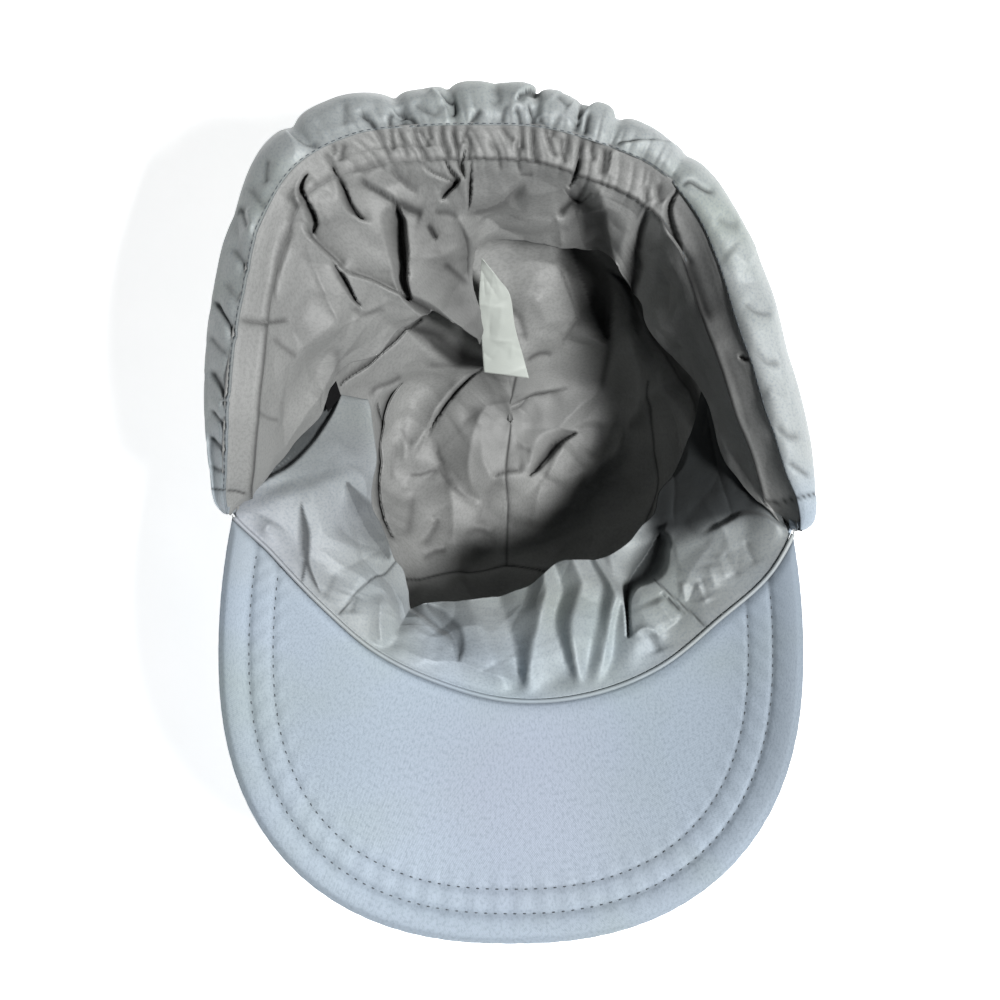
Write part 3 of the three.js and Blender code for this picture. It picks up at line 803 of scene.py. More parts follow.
def tube_parts(path, radius, sides, first=0):
    """Points and faces of a closed tube along a path, its points numbered from first."""
    ahead = unit(np.gradient(path, axis=0))
    side = unit(np.cross(ahead, UPWARD))
    over = np.cross(side, ahead)
    turn = np.linspace(0, 2 * np.pi, sides, endpoint=False)
    radius = np.broadcast_to(radius, (len(path),))[:, None, None]
    rings = path[:, None] + radius * (
        np.cos(turn)[None, :, None] * side[:, None] + np.sin(turn)[None, :, None] * over[:, None])
    ids = first + np.arange(len(path) * sides).reshape(len(path), sides)
    beside = np.roll(ids, -1, axis=1)
    quad = np.stack([ids[:-1], ids[1:], beside[1:], beside[:-1]], axis=-1)
    return rings.reshape(-1, 3), [*quad.reshape(-1, 4).tolist(), ids[0].tolist(), ids[-1, ::-1].tolist()]


def solid(name, points, faces, finish, replaces=()):
    """Piece from points in millimetres and faces."""
    data = bpy.data.meshes.new(name)
    data.from_pydata((points * MM).tolist(), [], faces)
    data.shade_smooth()
    return dress(bpy.data.objects.new(name, data), finish, replaces)


def stitches(name, paths, stitch, finish):
    """Rows of lockstitches: short threads along each path, their ends sinking into the cloth."""
    pitch, length, radius = stitch
    points, faces, first = [], [], 0
    share = np.array([0, 0.18, 0.5, 0.82, 1.0])
    swell = np.array([0.35, 0.9, 1.0, 0.9, 0.35]) * radius
    for path in paths:
        run = lengths(path)
        for start in np.arange(0.4, run[-1] - length, pitch):
            line = points_at(start + share * length, run, path)
            line[:, 2] += radius * (0.2 - 0.9 * (2 * share - 1) ** 4)
            thread, sides = tube_parts(line, swell, 6, first)
            points.append(thread)
            faces += sides
            first += len(thread)
    return solid(name, np.concatenate(points), faces, finish)


def seam_distance(grid):
    """Distance to the crown's seams: the middle seam from front to back, and the front panel's edge."""
    x, y, z = grid[..., 0], grid[..., 1], grid[..., 2]
    panel = (y - PANEL_SEAM_Y + PANEL_SEAM_LEAN * z) / np.hypot(1, PANEL_SEAM_LEAN)
    middle = np.where(panel > 0, np.abs(x - MIDDLE_SEAM_X), 99)
    return np.minimum(middle, np.abs(panel))


def crown_shell(finish):
    """Outer crown: flat disc, rounded corner and flared wall, with panel seams, puckers and soft dents."""
    around, flat_rows, rows = 250, 10, 56
    bearing = np.linspace(0, 360, around, endpoint=False)
    place = np.linspace(0, CROWN_PROFILE["place"][-1], rows)
    rise = np.maximum(along(CROWN_PROFILE, "rise", place), 0)[None, :]
    spread = along(CROWN_PROFILE, "spread", place)[None, :]
    flat, rim = flat_edge(bearing)[:, None], rim_radius(bearing)[:, None]
    radius = np.concatenate([flat * np.linspace(0, 1, flat_rows, endpoint=False)[None, :],
                             mix(flat, rim, spread)], axis=1)
    height = np.concatenate([np.zeros((around, flat_rows)), rise * rim_height(bearing)[:, None]], axis=1)
    grid = ring(bearing[:, None], radius, height)
    facing = normals(grid, closed=True)
    lifted = smoothstep(height, 0.6, 9)
    seam = seam_distance(grid)
    relief = ripple(grid, 3, 46) * 1.1 * (1 - smoothstep(height, 62, 80)) - 0.5
    relief += crumple(grid, 5, 130, 22, 0.55, 2.2)
    relief += creased(grid, 6, 60) * 0.9 * (1 - smoothstep(height, 66, 80)) - 0.7 * bell(seam, 0.9)
    relief += 0.35 * np.sin(grid @ np.array([0.9, 0.8, 1.0])) * bell(seam, 7)
    turn = np.radians(bearing[:, None])
    relief += 0.35 * np.sin(turn * 46) * bell(height - 84, 16) * smoothstep(np.sin(turn), -0.3, 0.4)
    front = grid + facing * (relief * lifted)[..., None]
    front[..., 2] = np.maximum(front[..., 2], 0)
    shade = 0.9 * bell(seam, 0.45) * lifted
    back = front - facing * SHELL_WALL
    piece = mesh_piece("crown_outer", front, back, finish, ["crown_shell"], closed=True,
                       pole=True, shade=shade)


# Charted folds and clefts of the crown lining, in the rows that crease_relief and cleft_relief read; their
# darkness is painted shade
LINING_CREASES = [
    (-1.0, 4.0, 0.8, 5.0, [(484, 367), (470, 375), (456, 390), (440, 411), (426, 433), (412, 462)]),
    (-1.5, 1.5, -1.5, 1.2, [(406, 474), (420, 475), (432, 471), (438, 473)]),
    (3.0, 6, 3.0, 8, [(502, 392), (482, 413), (472, 440), (468, 470), (476, 502)]),
    (-1.8, 5, -1.8, 2.5, [(431, 434), (436, 455), (442, 473), (456, 489), (480, 505)]),
    (0.9, 0.9, 0.9, 0.9, [(436, 471), (447, 478), (458, 491), (470, 501), (488, 508)]),
    (-1.4, 3.0, 0.8, 3.0, [(565, 389), (548, 394), (532, 399), (521, 411), (505, 415)]),
    (-1.6, 6, -1.6, 4, [(520, 408), (495, 404), (475, 412), (458, 428)]),
    (2.4, 8, 2.4, 2.2, [(572, 442), (561, 452), (552, 468), (545, 484)]),
    (-0.8, 1.0, -0.8, 1.5, [(513, 443), (522, 447), (532, 451)]),
    (-1.6, 3.5, -1.6, 1.2, [(490, 477), (506, 470), (526, 469)]),
    (2.2, 7, 2.2, 9, [(546, 474), (540, 492), (536, 512), (532, 532)]),
    (-1.4, 7, -1.4, 4, [(503, 476), (489, 494), (484, 510), (477, 528)]),
    (-1.5, 2.6, -1.5, 1.4, [(437, 517), (430, 534), (420, 548)]),
    (1.8, 5, 1.8, 4, [(446, 478), (452, 500), (454, 530), (449, 550)]),
    (-1.3, 1.1, -1.3, 2.2, [(421, 559), (432, 554), (446, 552)]),
    (-0.9, 1.2, -0.9, 1.8, [(464, 533), (478, 531), (495, 536)]),
    (-1.4, 1.6, -1.4, 1.1, [(369, 398), (375, 388), (388, 380), (400, 371)]),
    (-1.0, 1.4, -1.0, 1.1, [(382, 384), (392, 381), (399, 374)]),
    (1.0, 3, 1.0, 3, [(405, 395), (402, 425), (404, 440), (402, 470)]),
    (-0.8, 1.5, -0.8, 1.5, [(401, 428), (407, 438), (414, 444)]),
    (-0.8, 1.5, -0.8, 1.5, [(396, 442), (392, 462), (395, 482)]),
    (-1.8, 2.2, -1.8, 1.0, [(554, 355), (543, 352), (533, 355), (524, 361)]),
    (-3.0, 6, 1.0, 8, [(556, 252), (568, 285), (577, 315), (566, 335), (560, 354)]),
    (-1.2, 2, -1.2, 2, [(500, 300), (520, 320), (525, 345)]),
    (1.6, 6, 1.6, 6, [(530, 290), (545, 320), (540, 350)]),
    (-2.5, 3, -2.5, 3, [(600, 300), (610, 340), (600, 400)]),
    (2.0, 5, 2.0, 5, [(625, 330), (640, 380), (640, 430)]),
    (-0.6, 0.8, -0.6, 0.8, [(649, 380), (653, 430), (654, 460), (657, 490), (653, 512), (647, 522)], "seam"),
    (-0.5, 0.7, -0.5, 0.7, [(518, 360), (517, 384), (513, 411), (508, 449), (506, 472), (508, 510),
                            (507, 569)], "seam"),
    (-0.8, 0.8, -0.8, 0.8, [(400, 580), (440, 576), (470, 573), (507, 570), (540, 574), (570, 582)], "seam"),
    (1.8, 5, 1.8, 4, [(622, 420), (618, 450), (600, 468), (585, 490)]),
    (-1.5, 4, -1.5, 4, [(602, 420), (600, 445), (590, 460)]),
    (1.5, 4, 1.5, 4, [(385, 500), (390, 530), (402, 552)]),
    (-1.2, 2.5, -1.2, 2.5, [(412, 490), (410, 515), (405, 540)]),
    (-1.2, 3, -1.2, 2, [(420, 365), (450, 362), (476, 352)]),
]


LINING_CLEFTS = [
    (2.5, 0.97, [(484, 367, 0.2), (470, 377, 0.5), (455, 392, 0.8), (440, 412, 0.8), (428, 432, 0.2)]),
    (3.6, 0.95, [(577, 434, 0.4), (563, 438, 1.9), (551, 446, 2.8), (543, 457, 2.4), (536, 468, 1.4),
                 (530, 476, 0.4)]),
    (1.2, 0.97, [(566, 389, 0.2), (548, 394, 0.45), (532, 399, 0.45), (515, 410, 0.2)]),
    (3.5, 0.97, [(400, 384, 0.3), (388, 399, 1.0), (381, 420, 1.0), (381, 446, 0.3)]),
    (3.0, 0.97, [(404, 327, 0.4), (424, 334, 2.6), (448, 346, 4.2), (478, 358, 3.0), (500, 362, 0.5)]),
    (2.5, 0.97, [(376, 405, 0.4), (380, 435, 0.9), (380, 465, 0.9), (378, 495, 0.9), (382, 512, 0.7),
                 (392, 536, 0.5)]),
    (2.0, 0.97, [(421, 320, 0.7), (401, 334, 0.8), (381, 349, 0.8), (361, 367, 0.8), (342, 384, 0.6)]),
    (3.0, 0.9, [(606, 262, 0.1), (618, 280, 0.5), (634, 305, 1.6), (645, 330, 3.0), (665, 355, 3.8),
                (683, 382, 3.2), (700, 420, 1.5)]),
    (4.0, 0.9, [(556, 226, 1.0), (572, 246, 6.0), (582, 274, 10.0), (592, 303, 8.0), (606, 334, 2.0)]),
    (0.0, 0.7, [(570, 236, 3.0), (594, 262, 9.0), (612, 292, 9.0), (630, 326, 5.0)]),
]


def lining_base(around=330, rows=148):
    """Slack lining without folds: a small lifted floor, upright front walls and a long slope at the back."""
    bearing = np.linspace(0, 360, around, endpoint=False)
    floor, floor_height, radius, height = (
        along(LINING, name, bearing, closed=True) for name in ("floor", "floor_height", "radius", "height"))
    upright = np.maximum(-np.sin(np.radians(bearing)), 0) * 0.14
    points = [(0, LINING_MIDDLE_HEIGHT),
              (floor * 0.55, mix(LINING_MIDDLE_HEIGHT, floor_height, 0.55)),
              (floor, floor_height),
              (mix(floor, radius, 0.38 + upright), mix(floor_height, height, 0.3)),
              (mix(floor, radius, 0.7 + upright), mix(floor_height, height, 0.62)),
              (radius, height)]
    r, z = section(points, rows)
    return ring(bearing[:, None], r, z)


def crown_lining(finish):
    """Slack crown lining with charted and crumpled folds, painted shade in its folds and clefts, and thin
    sewn seams.
    """
    grid = lining_base()
    inward = -normals(grid, closed=True, pole=True)
    relief = softened(facets(grid, 13, 95, 22) * 2.5, 3, True) + creased(grid, 12, 34) * 1.5
    relief += crumple(grid, 11, 60, 14, 0.5, 1.6)
    folds, trenches, shade = charted_folds(grid, LINING_CREASES, LINING_CLEFTS)
    lifted = calm_pole(folds + trenches) * LINING_FULLNESS
    fade = smoothstep(np.linspace(0, 1, grid.shape[1]), 1.0, 0.9)[None, :, None]
    front = grid + (inward * calm_pole(relief)[..., None] + UPWARD * lifted[..., None]) * fade
    front[..., 2] = np.maximum(front[..., 2], LINING_LOWEST + LINING_WALL)
    back = front - inward * LINING_WALL
    back[..., 2] = np.maximum(back[..., 2], LINING_LOWEST)
    piece = mesh_piece("lining", back, front, finish, ["crown_lining"], closed=True,
                       pole=True, shade=shade)


def end_round(bearing, low, high, width):
    """Rounds off a band's two ends: a quarter circle rising from 0 to 1 within width degrees."""
    return quarter_circle(np.minimum(bearing - low, high - bearing) / width)


def gathers(bearing):
    """Depth of the notches along the flap's edge."""
    rows = zip(GATHERS["bearing"], GATHERS["depth"], GATHERS["half_width"])
    return sum(depth * bell(bearing - place, width, 1.3) for place, depth, width in rows)


def pleats(bearing):
    """Close random pleats that the elastic makes at the back, fading out towards both sides."""
    rng = np.random.default_rng(21)
    places = np.cumsum(rng.uniform(1.3, 3.3, 40)) + 52
    total = np.zeros(np.shape(bearing))
    for place in places[places < 132]:
        total += rng.uniform(0.5, 1.2) * bell(bearing - place, rng.uniform(0.35, 0.7), 1.3)
    return total * smoothstep(bearing, 50, 62) * (1 - smoothstep(bearing, 118, 134))


ROLL_CREASES = [
    (-1.2, 2.4, 1.4, 3.0, [(284, 124), (291, 134), (299, 141), (309, 146), (323, 150)]),
    (0.8, 3.0, 0.8, 3.0, [(290, 134), (296, 152), (292, 172)]),
    (-1.2, 2.5, -1.2, 2.0, [(268, 156), (264, 170), (264, 186)]),
    (-1.1, 3.0, -1.1, 1.6, [(246, 186), (256, 198), (266, 210)]),
    (-1.2, 2.4, -1.2, 1.4, [(238, 205), (243, 218), (249, 230)]),
    (1.2, 2.0, 1.2, 2.0, [(247, 205), (252, 220), (252, 240)]),
    (-1.3, 2.0, -1.3, 1.5, [(229, 246), (240, 261), (250, 276)]),
    (-0.9, 3.0, -0.9, 1.8, [(222, 280), (232, 294), (240, 302)]),
    (-2.2, 1.3, -2.2, 1.0, [(210, 298), (221, 314), (230, 329), (237, 344)]),
    (-1.0, 2.4, -1.0, 1.6, [(208, 335), (218, 348), (228, 356)]),
    (-1.8, 2.4, -1.8, 1.2, [(205, 368), (214, 384), (226, 402)]),
    (1.2, 1.0, -1.2, 1.2, [(218, 402), (226, 401), (232, 403)]),
    (-1.4, 1.4, -1.4, 1.2, [(208, 408), (216, 420), (228, 430)]),
    (-1.6, 1.4, -1.6, 1.2, [(206, 436), (216, 446), (228, 452)]),
    (-1.4, 1.2, -1.4, 1.2, [(207, 466), (216, 470), (228, 474)]),
    (-1.0, 1.2, -1.0, 1.2, [(212, 489), (220, 490), (228, 490)], "seam"),
    (-2.6, 1.4, -2.6, 0.8, [(357, 106), (366, 117), (374, 127), (383, 143)]),
    (-1.2, 3.0, -1.2, 2.0, [(346, 98), (344, 112), (346, 126)]),
    (-2.2, 1.4, -2.2, 0.8, [(393, 99), (404, 112), (414, 122), (424, 137)]),
    (-2.0, 1.2, -2.0, 0.8, [(395, 104), (389, 116), (391, 132)]),
    (-1.4, 1.0, -1.4, 0.8, [(397, 108), (401, 118), (407, 128)]),
    (-1.2, 2.4, -1.2, 1.4, [(412, 98), (424, 108), (440, 117)]),
    (1.6, 1.4, 1.6, 1.4, [(428, 86), (438, 95), (447, 99)]),
    (-2.4, 1.3, -2.4, 1.0, [(438, 88), (449, 93), (454, 104), (452, 120)]),
    (1.4, 1.2, 1.4, 1.2, [(446, 102), (446, 112), (450, 124)]),
    (-2.2, 1.4, -2.2, 0.9, [(481, 107), (473, 119), (467, 131)]),
    (-1.4, 4.0, -1.4, 3.0, [(492, 80), (498, 94), (490, 104)]),
    (-1.4, 2.4, -1.4, 1.4, [(506, 100), (503, 114), (502, 126)]),
    (1.6, 3.0, -2.2, 2.0, [(515, 102), (520, 94), (530, 88), (543, 84)]),
    (-2.2, 1.2, -2.2, 0.9, [(515, 104), (519, 115), (521, 128)]),
    (-2.6, 1.4, -2.6, 0.9, [(529, 98), (533, 112), (532, 130)]),
    (-1.6, 1.2, -1.6, 0.8, [(537, 116), (544, 124), (548, 134)]),
    (-1.4, 2.6, -1.4, 2.6, [(556, 92), (566, 100), (572, 104)]),
    (-1.4, 2.6, -1.4, 1.6, [(562, 112), (556, 122), (552, 134)]),
    (-2.0, 1.3, -2.0, 0.9, [(580, 114), (577, 124), (574, 132)]),
    (-2.2, 1.6, 1.6, 5.0, [(579, 124), (583, 110), (590, 104), (598, 102), (610, 106), (622, 116)]),
    (-2.4, 1.3, -2.4, 0.9, [(590, 109), (587, 122), (584, 138)]),
    (-1.6, 2.5, 1.7, 4.0, [(610, 149), (624, 142), (642, 140), (662, 140), (684, 144)]),
    (-2.2, 4.0, -2.2, 1.2, [(632, 152), (652, 164), (668, 176), (682, 188)]),
    (-1.8, 1.4, -1.8, 1.4, [(680, 190), (689, 181), (702, 188), (716, 194)]),
    (-1.0, 3, -1.0, 3, [(716, 216), (728, 224), (738, 226)]),
    (1.2, 4, 1.2, 4, [(728, 250), (742, 262), (752, 268)]),
    (-1.1, 3, -1.1, 2, [(742, 300), (756, 312), (772, 314)]),
    (-1.2, 3, -1.2, 2, [(752, 350), (768, 362), (784, 362)]),
    (1.1, 3, 1.1, 3, [(764, 390), (780, 398), (792, 398)]),
    (-1.2, 2.4, -1.2, 2, [(772, 425), (788, 436), (804, 436)]),
    (-1.2, 1.4, -1.2, 1.2, [(794, 499), (805, 497), (820, 493)], "seam"),
    (-1.4, 1.6, -1.4, 1.2, [(786, 462), (800, 470), (812, 478)]),
]


def flap_shell_base(around=640, rows=76):
    """Outer flap without folds: up from the rim, over the roll and down to the edge seam."""
    low, high = FLAP_SPAN
    bearing = np.interp(np.linspace(0, 1, around), [0, 0.2, 1], [low, 48, high])
    ends = end_round(bearing, low, high, 3.2)
    seam, top = along(FLAP, "seam", bearing), along(FLAP, "top", bearing)
    outer = mix(seam, along(FLAP, "outer", bearing) - gathers(bearing) * 0.6, ends)
    rim, root = rim_radius(bearing), rim_height(bearing) + GAP
    left, right = smoothstep(bearing, 125, 150), 1 - smoothstep(bearing, 40, 80)
    tall = np.clip((top - root) / ROLL_HEIGHT, 0.2, 1)
    points = [(np.minimum(rim + 0.6, outer - 2.5), root),
              (mix(rim, outer, 0.62), mix(root, top, 0.34)),
              (outer, mix(root, top, 0.6)),
              (mix(seam, outer, 0.78), top - (5 + 4.5 * left) * tall),
              (mix(seam, outer, 0.38), top - (1.6 + 2.4 * left) * tall),
              (mix(seam, outer, 0.1), top - (1.3 + 0.9 * left) * tall),
              (seam, top - (1.4 + 0.8 * right) * tall)]
    r, z = section(points, rows)
    return bearing, ring(bearing[:, None], r, z)


def flap_shell(finish, thread):
    """Padded outer flap: a soft gathered roll that turns in over the edge, sewn down along its inner edge."""
    bearing, grid = flap_shell_base()
    outward = normals(grid)
    down = np.linspace(0, 1, grid.shape[1])[None, :]
    turn = bearing[:, None]
    folds, dark = crease_relief(grid, ROLL_CREASES)
    loose = mix(0.3, 1.0, smoothstep(down, 0.5, 0.85))
    relief = folds + (creased(grid, 31, 36) * 0.7 + softened(facets(grid, 33, 90, 18) * 0.8, 3)) * loose
    relief -= gathers(turn) * 0.9 * smoothstep(down, 0.35, 0.9)
    relief -= pleats(turn + 1.5 * down) * smoothstep(down, 0.62, 1.0) * 0.6
    relief *= smoothstep(down, 0, 0.12) * (1 - 0.6 * smoothstep(down, 0.93, 1))
    to_end = np.minimum(turn - FLAP_SPAN[0], FLAP_SPAN[1] - turn)
    relief *= 0.15 + 0.85 * smoothstep(to_end, 1, 18)
    front = grid + outward * relief[..., None]
    # painted shade where the roll turns down to its seam, wider on the right, with the painted shade and seam
    # lines of the charted creases
    right = (1 - smoothstep(turn, 38, 60)) * smoothstep(turn, -14, 4)
    edge = np.maximum(0.45 * smoothstep(down, 0.975, 1.0), 0.6 * right * smoothstep(down, 0.86, 1.0))
    wall = mix(FLAP_PADDING, SEAM_PADDING, smoothstep(down, 0.6, 1))
    back = front - outward * wall[..., None]
    piece = mesh_piece("flap_outer", front, back, finish, ["flap_shell"],
                       shade=np.maximum(edge, dark))
    stitches("edge_stitches", [front[14:-14, -2]], FLAP_STITCH, thread)


SKIRT_CREASES = [
    # pleats of the casing
    (-1.6, 0.9, -1.6, 0.6, [(390, 125), (391, 140), (393, 152)]),
    (-1.4, 0.9, -1.4, 0.6, [(397, 124), (401, 140), (408, 158)]),
    (-1.8, 1.0, -1.8, 0.6, [(413, 124), (416, 140), (423, 153), (424, 163)]),
    (-1.5, 1.0, -1.5, 0.6, [(418, 128), (424, 138), (429, 148)]),
    (-1.3, 0.9, -1.3, 0.6, [(429, 124), (428, 132), (431, 140)]),
    (-1.9, 1.0, -1.9, 0.6, [(442, 120), (441, 138), (446, 152), (451, 158)]),
    (-2.2, 1.1, -2.2, 0.6, [(454, 120), (453, 135), (457, 150), (459, 165), (464, 176)]),
    (-1.6, 1.0, -1.6, 0.6, [(468, 124), (465, 133), (462, 144)]),
    (-1.8, 1.0, -1.8, 0.6, [(467, 132), (469, 148), (466, 160)]),
    (-1.3, 1.6, -1.3, 0.8, [(488, 140), (496, 150), (499, 160), (501, 172)]),
    (-1.4, 1.0, -1.4, 0.8, [(500, 124), (507, 136), (516, 141)]),
    (-1.8, 0.9, -1.8, 0.6, [(517, 138), (518, 152), (519, 165), (523, 172)]),
    (-1.2, 0.8, -1.2, 0.8, [(518, 171), (526, 173), (534, 172)]),
    (-1.6, 0.9, -1.6, 0.6, [(520, 120), (521, 138), (521, 152)]),
    (-2.0, 1.0, -2.0, 0.7, [(532, 120), (532, 140), (534, 156), (540, 164)]),
    (-1.7, 1.1, -1.7, 0.6, [(544, 124), (548, 140), (553, 151), (558, 158)]),
    (-1.4, 1.0, -1.4, 0.6, [(556, 122), (552, 131), (552, 138)]),
    (-1.8, 0.9, -1.8, 0.6, [(561, 136), (562, 150), (565, 164)]),
    (-1.5, 0.9, -1.5, 0.6, [(568, 130), (566, 143), (566, 156)]),
    (-2.8, 1.3, -2.8, 0.7, [(582, 134), (579, 153), (577, 168), (570, 182)]),
    (-1.6, 1.3, -1.6, 0.7, [(593, 138), (591, 150), (594, 162)]),
    (-1.6, 1.3, -1.6, 0.8, [(604, 145), (603, 160), (600, 176)]),
    (1.6, 1.0, 1.6, 0.8, [(613, 148), (611, 162), (607, 180)]),
    (-1.2, 1.6, -1.2, 1.0, [(646, 185), (645, 194), (648, 203)]),
    (-1.4, 1.6, -1.4, 1.0, [(658, 182), (657, 192), (662, 204)]),
    (-1.6, 1.2, -1.6, 0.7, [(363, 118), (373, 126), (381, 141), (390, 160)]),
    (-1.5, 1.4, -1.5, 0.8, [(344, 142), (341, 152), (339, 162)]),
    (-1.4, 1.1, -1.4, 0.8, [(333, 143), (334, 155)]),
    (-1.6, 1.2, -1.6, 0.8, [(324, 152), (330, 162), (335, 172)]),
    (-1.6, 4, -1.6, 1.2, [(390, 163), (395, 175), (405, 185), (420, 194)]),
    (-1.2, 1.5, -1.2, 1.2, [(345, 166), (358, 169), (375, 166), (388, 164)]),
    # left skirt
    (-2.0, 3.0, 0.6, 4.0, [(336, 172), (343, 188), (349, 204), (358, 218), (374, 223)]),
    (2.0, 4.0, 2.0, 2.0, [(315, 176), (308, 186), (300, 196), (292, 206)]),
    (0.4, 3.0, 1.6, 2.0, [(301, 186), (303, 200), (311, 214), (316, 228)]),
    (-5.0, 3.6, 1.8, 3.0, [(303, 219), (308, 233), (320, 246), (335, 260), (346, 273)]),
    (-1.8, 1.3, -1.8, 1.3, [(299, 209), (290, 222), (287, 236), (280, 258), (272, 284), (276, 306)]),
    (1.8, 6, 1.8, 2.4, [(303, 236), (318, 275), (328, 305), (340, 332), (350, 345)]),
    (1.2, 6, 1.2, 2.6, [(290, 322), (300, 345), (308, 370), (314, 392)]),
    (-0.9, 1.1, -0.9, 1.3, [(253, 409), (266, 417), (282, 421)]),
    (-1.7, 0.8, -1.7, 0.8, [(236, 319), (262, 322), (294, 318)]),
    (-1.0, 2, -1.0, 1.5, [(270, 336), (283, 348), (296, 358)]),
    (-4.0, 3.4, 1.4, 3.0, [(340, 268), (350, 272), (368, 277), (386, 286), (404, 294)]),
    (-1.0, 2, -1.0, 2, [(348, 305), (362, 312), (385, 307)]),
    (-0.8, 2, -0.8, 2, [(336, 345), (338, 362), (337, 384)]),
    (1.2, 4, 1.2, 4, [(318, 190), (325, 215), (340, 240)]),
    # slit and lobe
    (-2.2, 3.0, -2.2, 3.0, [(396, 204), (410, 208), (424, 214)]),
    (2.2, 6, -3.0, 3.4, [(356, 175), (366, 183), (378, 191), (392, 199), (408, 206), (424, 213)]),
    (-2.6, 1.5, -2.6, 1.2, [(427, 223), (431, 229), (436, 237)]),
    (-1.4, 1.2, -1.4, 1.8, [(432, 212), (448, 212), (458, 216)]),
    (2.2, 1.3, 2.2, 1.6, [(457, 213), (468, 236), (484, 262)]),
    (-1.6, 2.0, -1.6, 5, [(458, 222), (466, 248), (470, 282)]),
    (-1.4, 1.5, -1.4, 2.6, [(441, 260), (455, 272), (472, 287)]),
    (2.6, 8, 2.6, 8, [(432, 240), (436, 270), (446, 310)]),
    (-2.6, 1.6, -2.6, 1.6, [(457, 180), (450, 187), (441, 199)]),
    # back and right skirt
    (-4.0, 5, 1.6, 6, [(526, 180), (512, 189), (496, 200), (480, 206), (462, 213)]),
    (-2.4, 2, -2.4, 2, [(586, 186), (575, 197), (566, 206), (556, 213)]),
    (-2.6, 2.2, -2.6, 2.2, [(568, 186), (575, 193), (584, 196)]),
    (1.8, 5, 1.8, 3, [(556, 213), (560, 228), (565, 242)]),
    (-2.0, 2.6, -2.0, 2.6, [(684, 245), (700, 290), (712, 325)]),
    (1.6, 5, 1.6, 4, [(662, 235), (675, 265), (690, 310)]),
    (1.5, 4, 1.5, 4, [(705, 330), (722, 370), (735, 420)]),
    (-1.0, 3, -1.0, 3, [(720, 340), (738, 390), (752, 440)]),
    (-1.0, 2.4, -1.0, 2.4, [(728, 440), (745, 470), (765, 500)]),
    # cross stitches near the flap's ends
    (-0.8, 1.2, -0.8, 1.2, [(767, 500), (776, 503), (794, 499)], "seam"),
    (-0.6, 1.0, -0.6, 1.0, [(228, 490), (235, 491), (243, 493)], "seam"),
]


# Clefts of the flap lining: depth, strength of the painted shade and picture points with half widths; a row
# of depth 0 is painted shade alone
SKIRT_CLEFTS = [
    (6.0, 0.97, [(306, 175, 0.3), (301, 188, 0.7), (304, 200, 1.0), (310, 212, 1.2), (313, 222, 1.1),
                 (310, 229, 0.3)]),
    (5.0, 0.97, [(332, 167, 0.2), (337, 176, 0.6), (342, 186, 0.9), (346, 198, 1.1), (352, 209, 1.0),
                 (362, 219, 0.3)]),
    (5.0, 0.97, [(334, 264, 0.2), (341, 276, 0.9), (346, 286, 0.8), (352, 297, 0.6), (359, 305, 0.1)]),
    (9.0, 0.97, [(396, 204, 0.4), (396, 218, 2.6), (398, 243, 2.3), (399, 262, 1.6), (401, 280, 1.4),
                 (406, 293, 1.1)]),
    (6.0, 0.97, [(398, 290, 0.4), (410, 299, 1.2), (424, 308, 1.6), (440, 319, 1.6), (456, 331, 0.8)]),
    (3.0, 0.97, [(424, 164, 0.2), (432, 171, 0.35), (445, 177, 0.4), (455, 180, 0.5)]),
    (3.5, 0.97, [(444, 157, 0.2), (449, 168, 0.5), (455, 177, 0.8), (458, 183, 0.4)]),
    (4.0, 0.97, [(458, 180, 0.7), (451, 187, 0.8), (445, 191, 0.8), (441, 198, 0.2)]),
    (3.0, 0.97, [(466, 146, 0.2), (461, 162, 0.5), (463, 172, 0.6), (464, 178, 0.2)]),
    (3.0, 0.97, [(471, 158, 0.2), (470, 180, 0.6), (469, 192, 0.6), (467, 208, 0.1)]),
    (3.0, 0.97, [(579, 160, 0.3), (576, 172, 0.6), (570, 183, 0.4)]),
    (3.0, 0.85, [(566, 187, 0.2), (574, 193, 0.8), (584, 196, 0.6), (590, 192, 0.1)]),
    (3.0, 0.85, [(649, 204, 0.3), (643, 225, 1.4), (638, 245, 2.6), (636, 268, 3.0), (637, 292, 1.0)]),
    (0.0, 0.8, [(570, 196, 1.0), (577, 212, 4.5), (584, 234, 7.5), (598, 256, 6.0)]),
    (3.0, 0.8, [(681, 187, 0.2), (674, 196, 0.6), (669, 208, 0.9), (671, 222, 1.0), (680, 240, 0.6),
                (692, 262, 0.1)]),
    (2.5, 0.97, [(742, 357, 0.7), (750, 358, 0.5), (757, 357, 0.2)]),
]


# Fold lines of the cloth that hangs under the casing's right corner: height and picture points
SKIRT_FAN = [
    (0, [(558, 168), (550, 205), (545, 240)]),
    (-4.5, [(581, 170), (584, 212), (589, 250)]),
    (6.5, [(596, 178), (604, 215), (617, 268)]),
    (3.0, [(634, 190), (629, 225), (624, 268)]),
    (-6.0, [(648, 202), (642, 245), (637, 300)]),
    (0, [(682, 225), (681, 270), (672, 330)]),
]


def lobe_share(bearing):
    """How far the hem hangs down beside the slit: 1 in the middle of the lobe, 0 beyond it."""
    return np.clip(1 - np.abs(bearing - LOBE_BEARING) / LOBE_HALF_WIDTH, 0, 1)


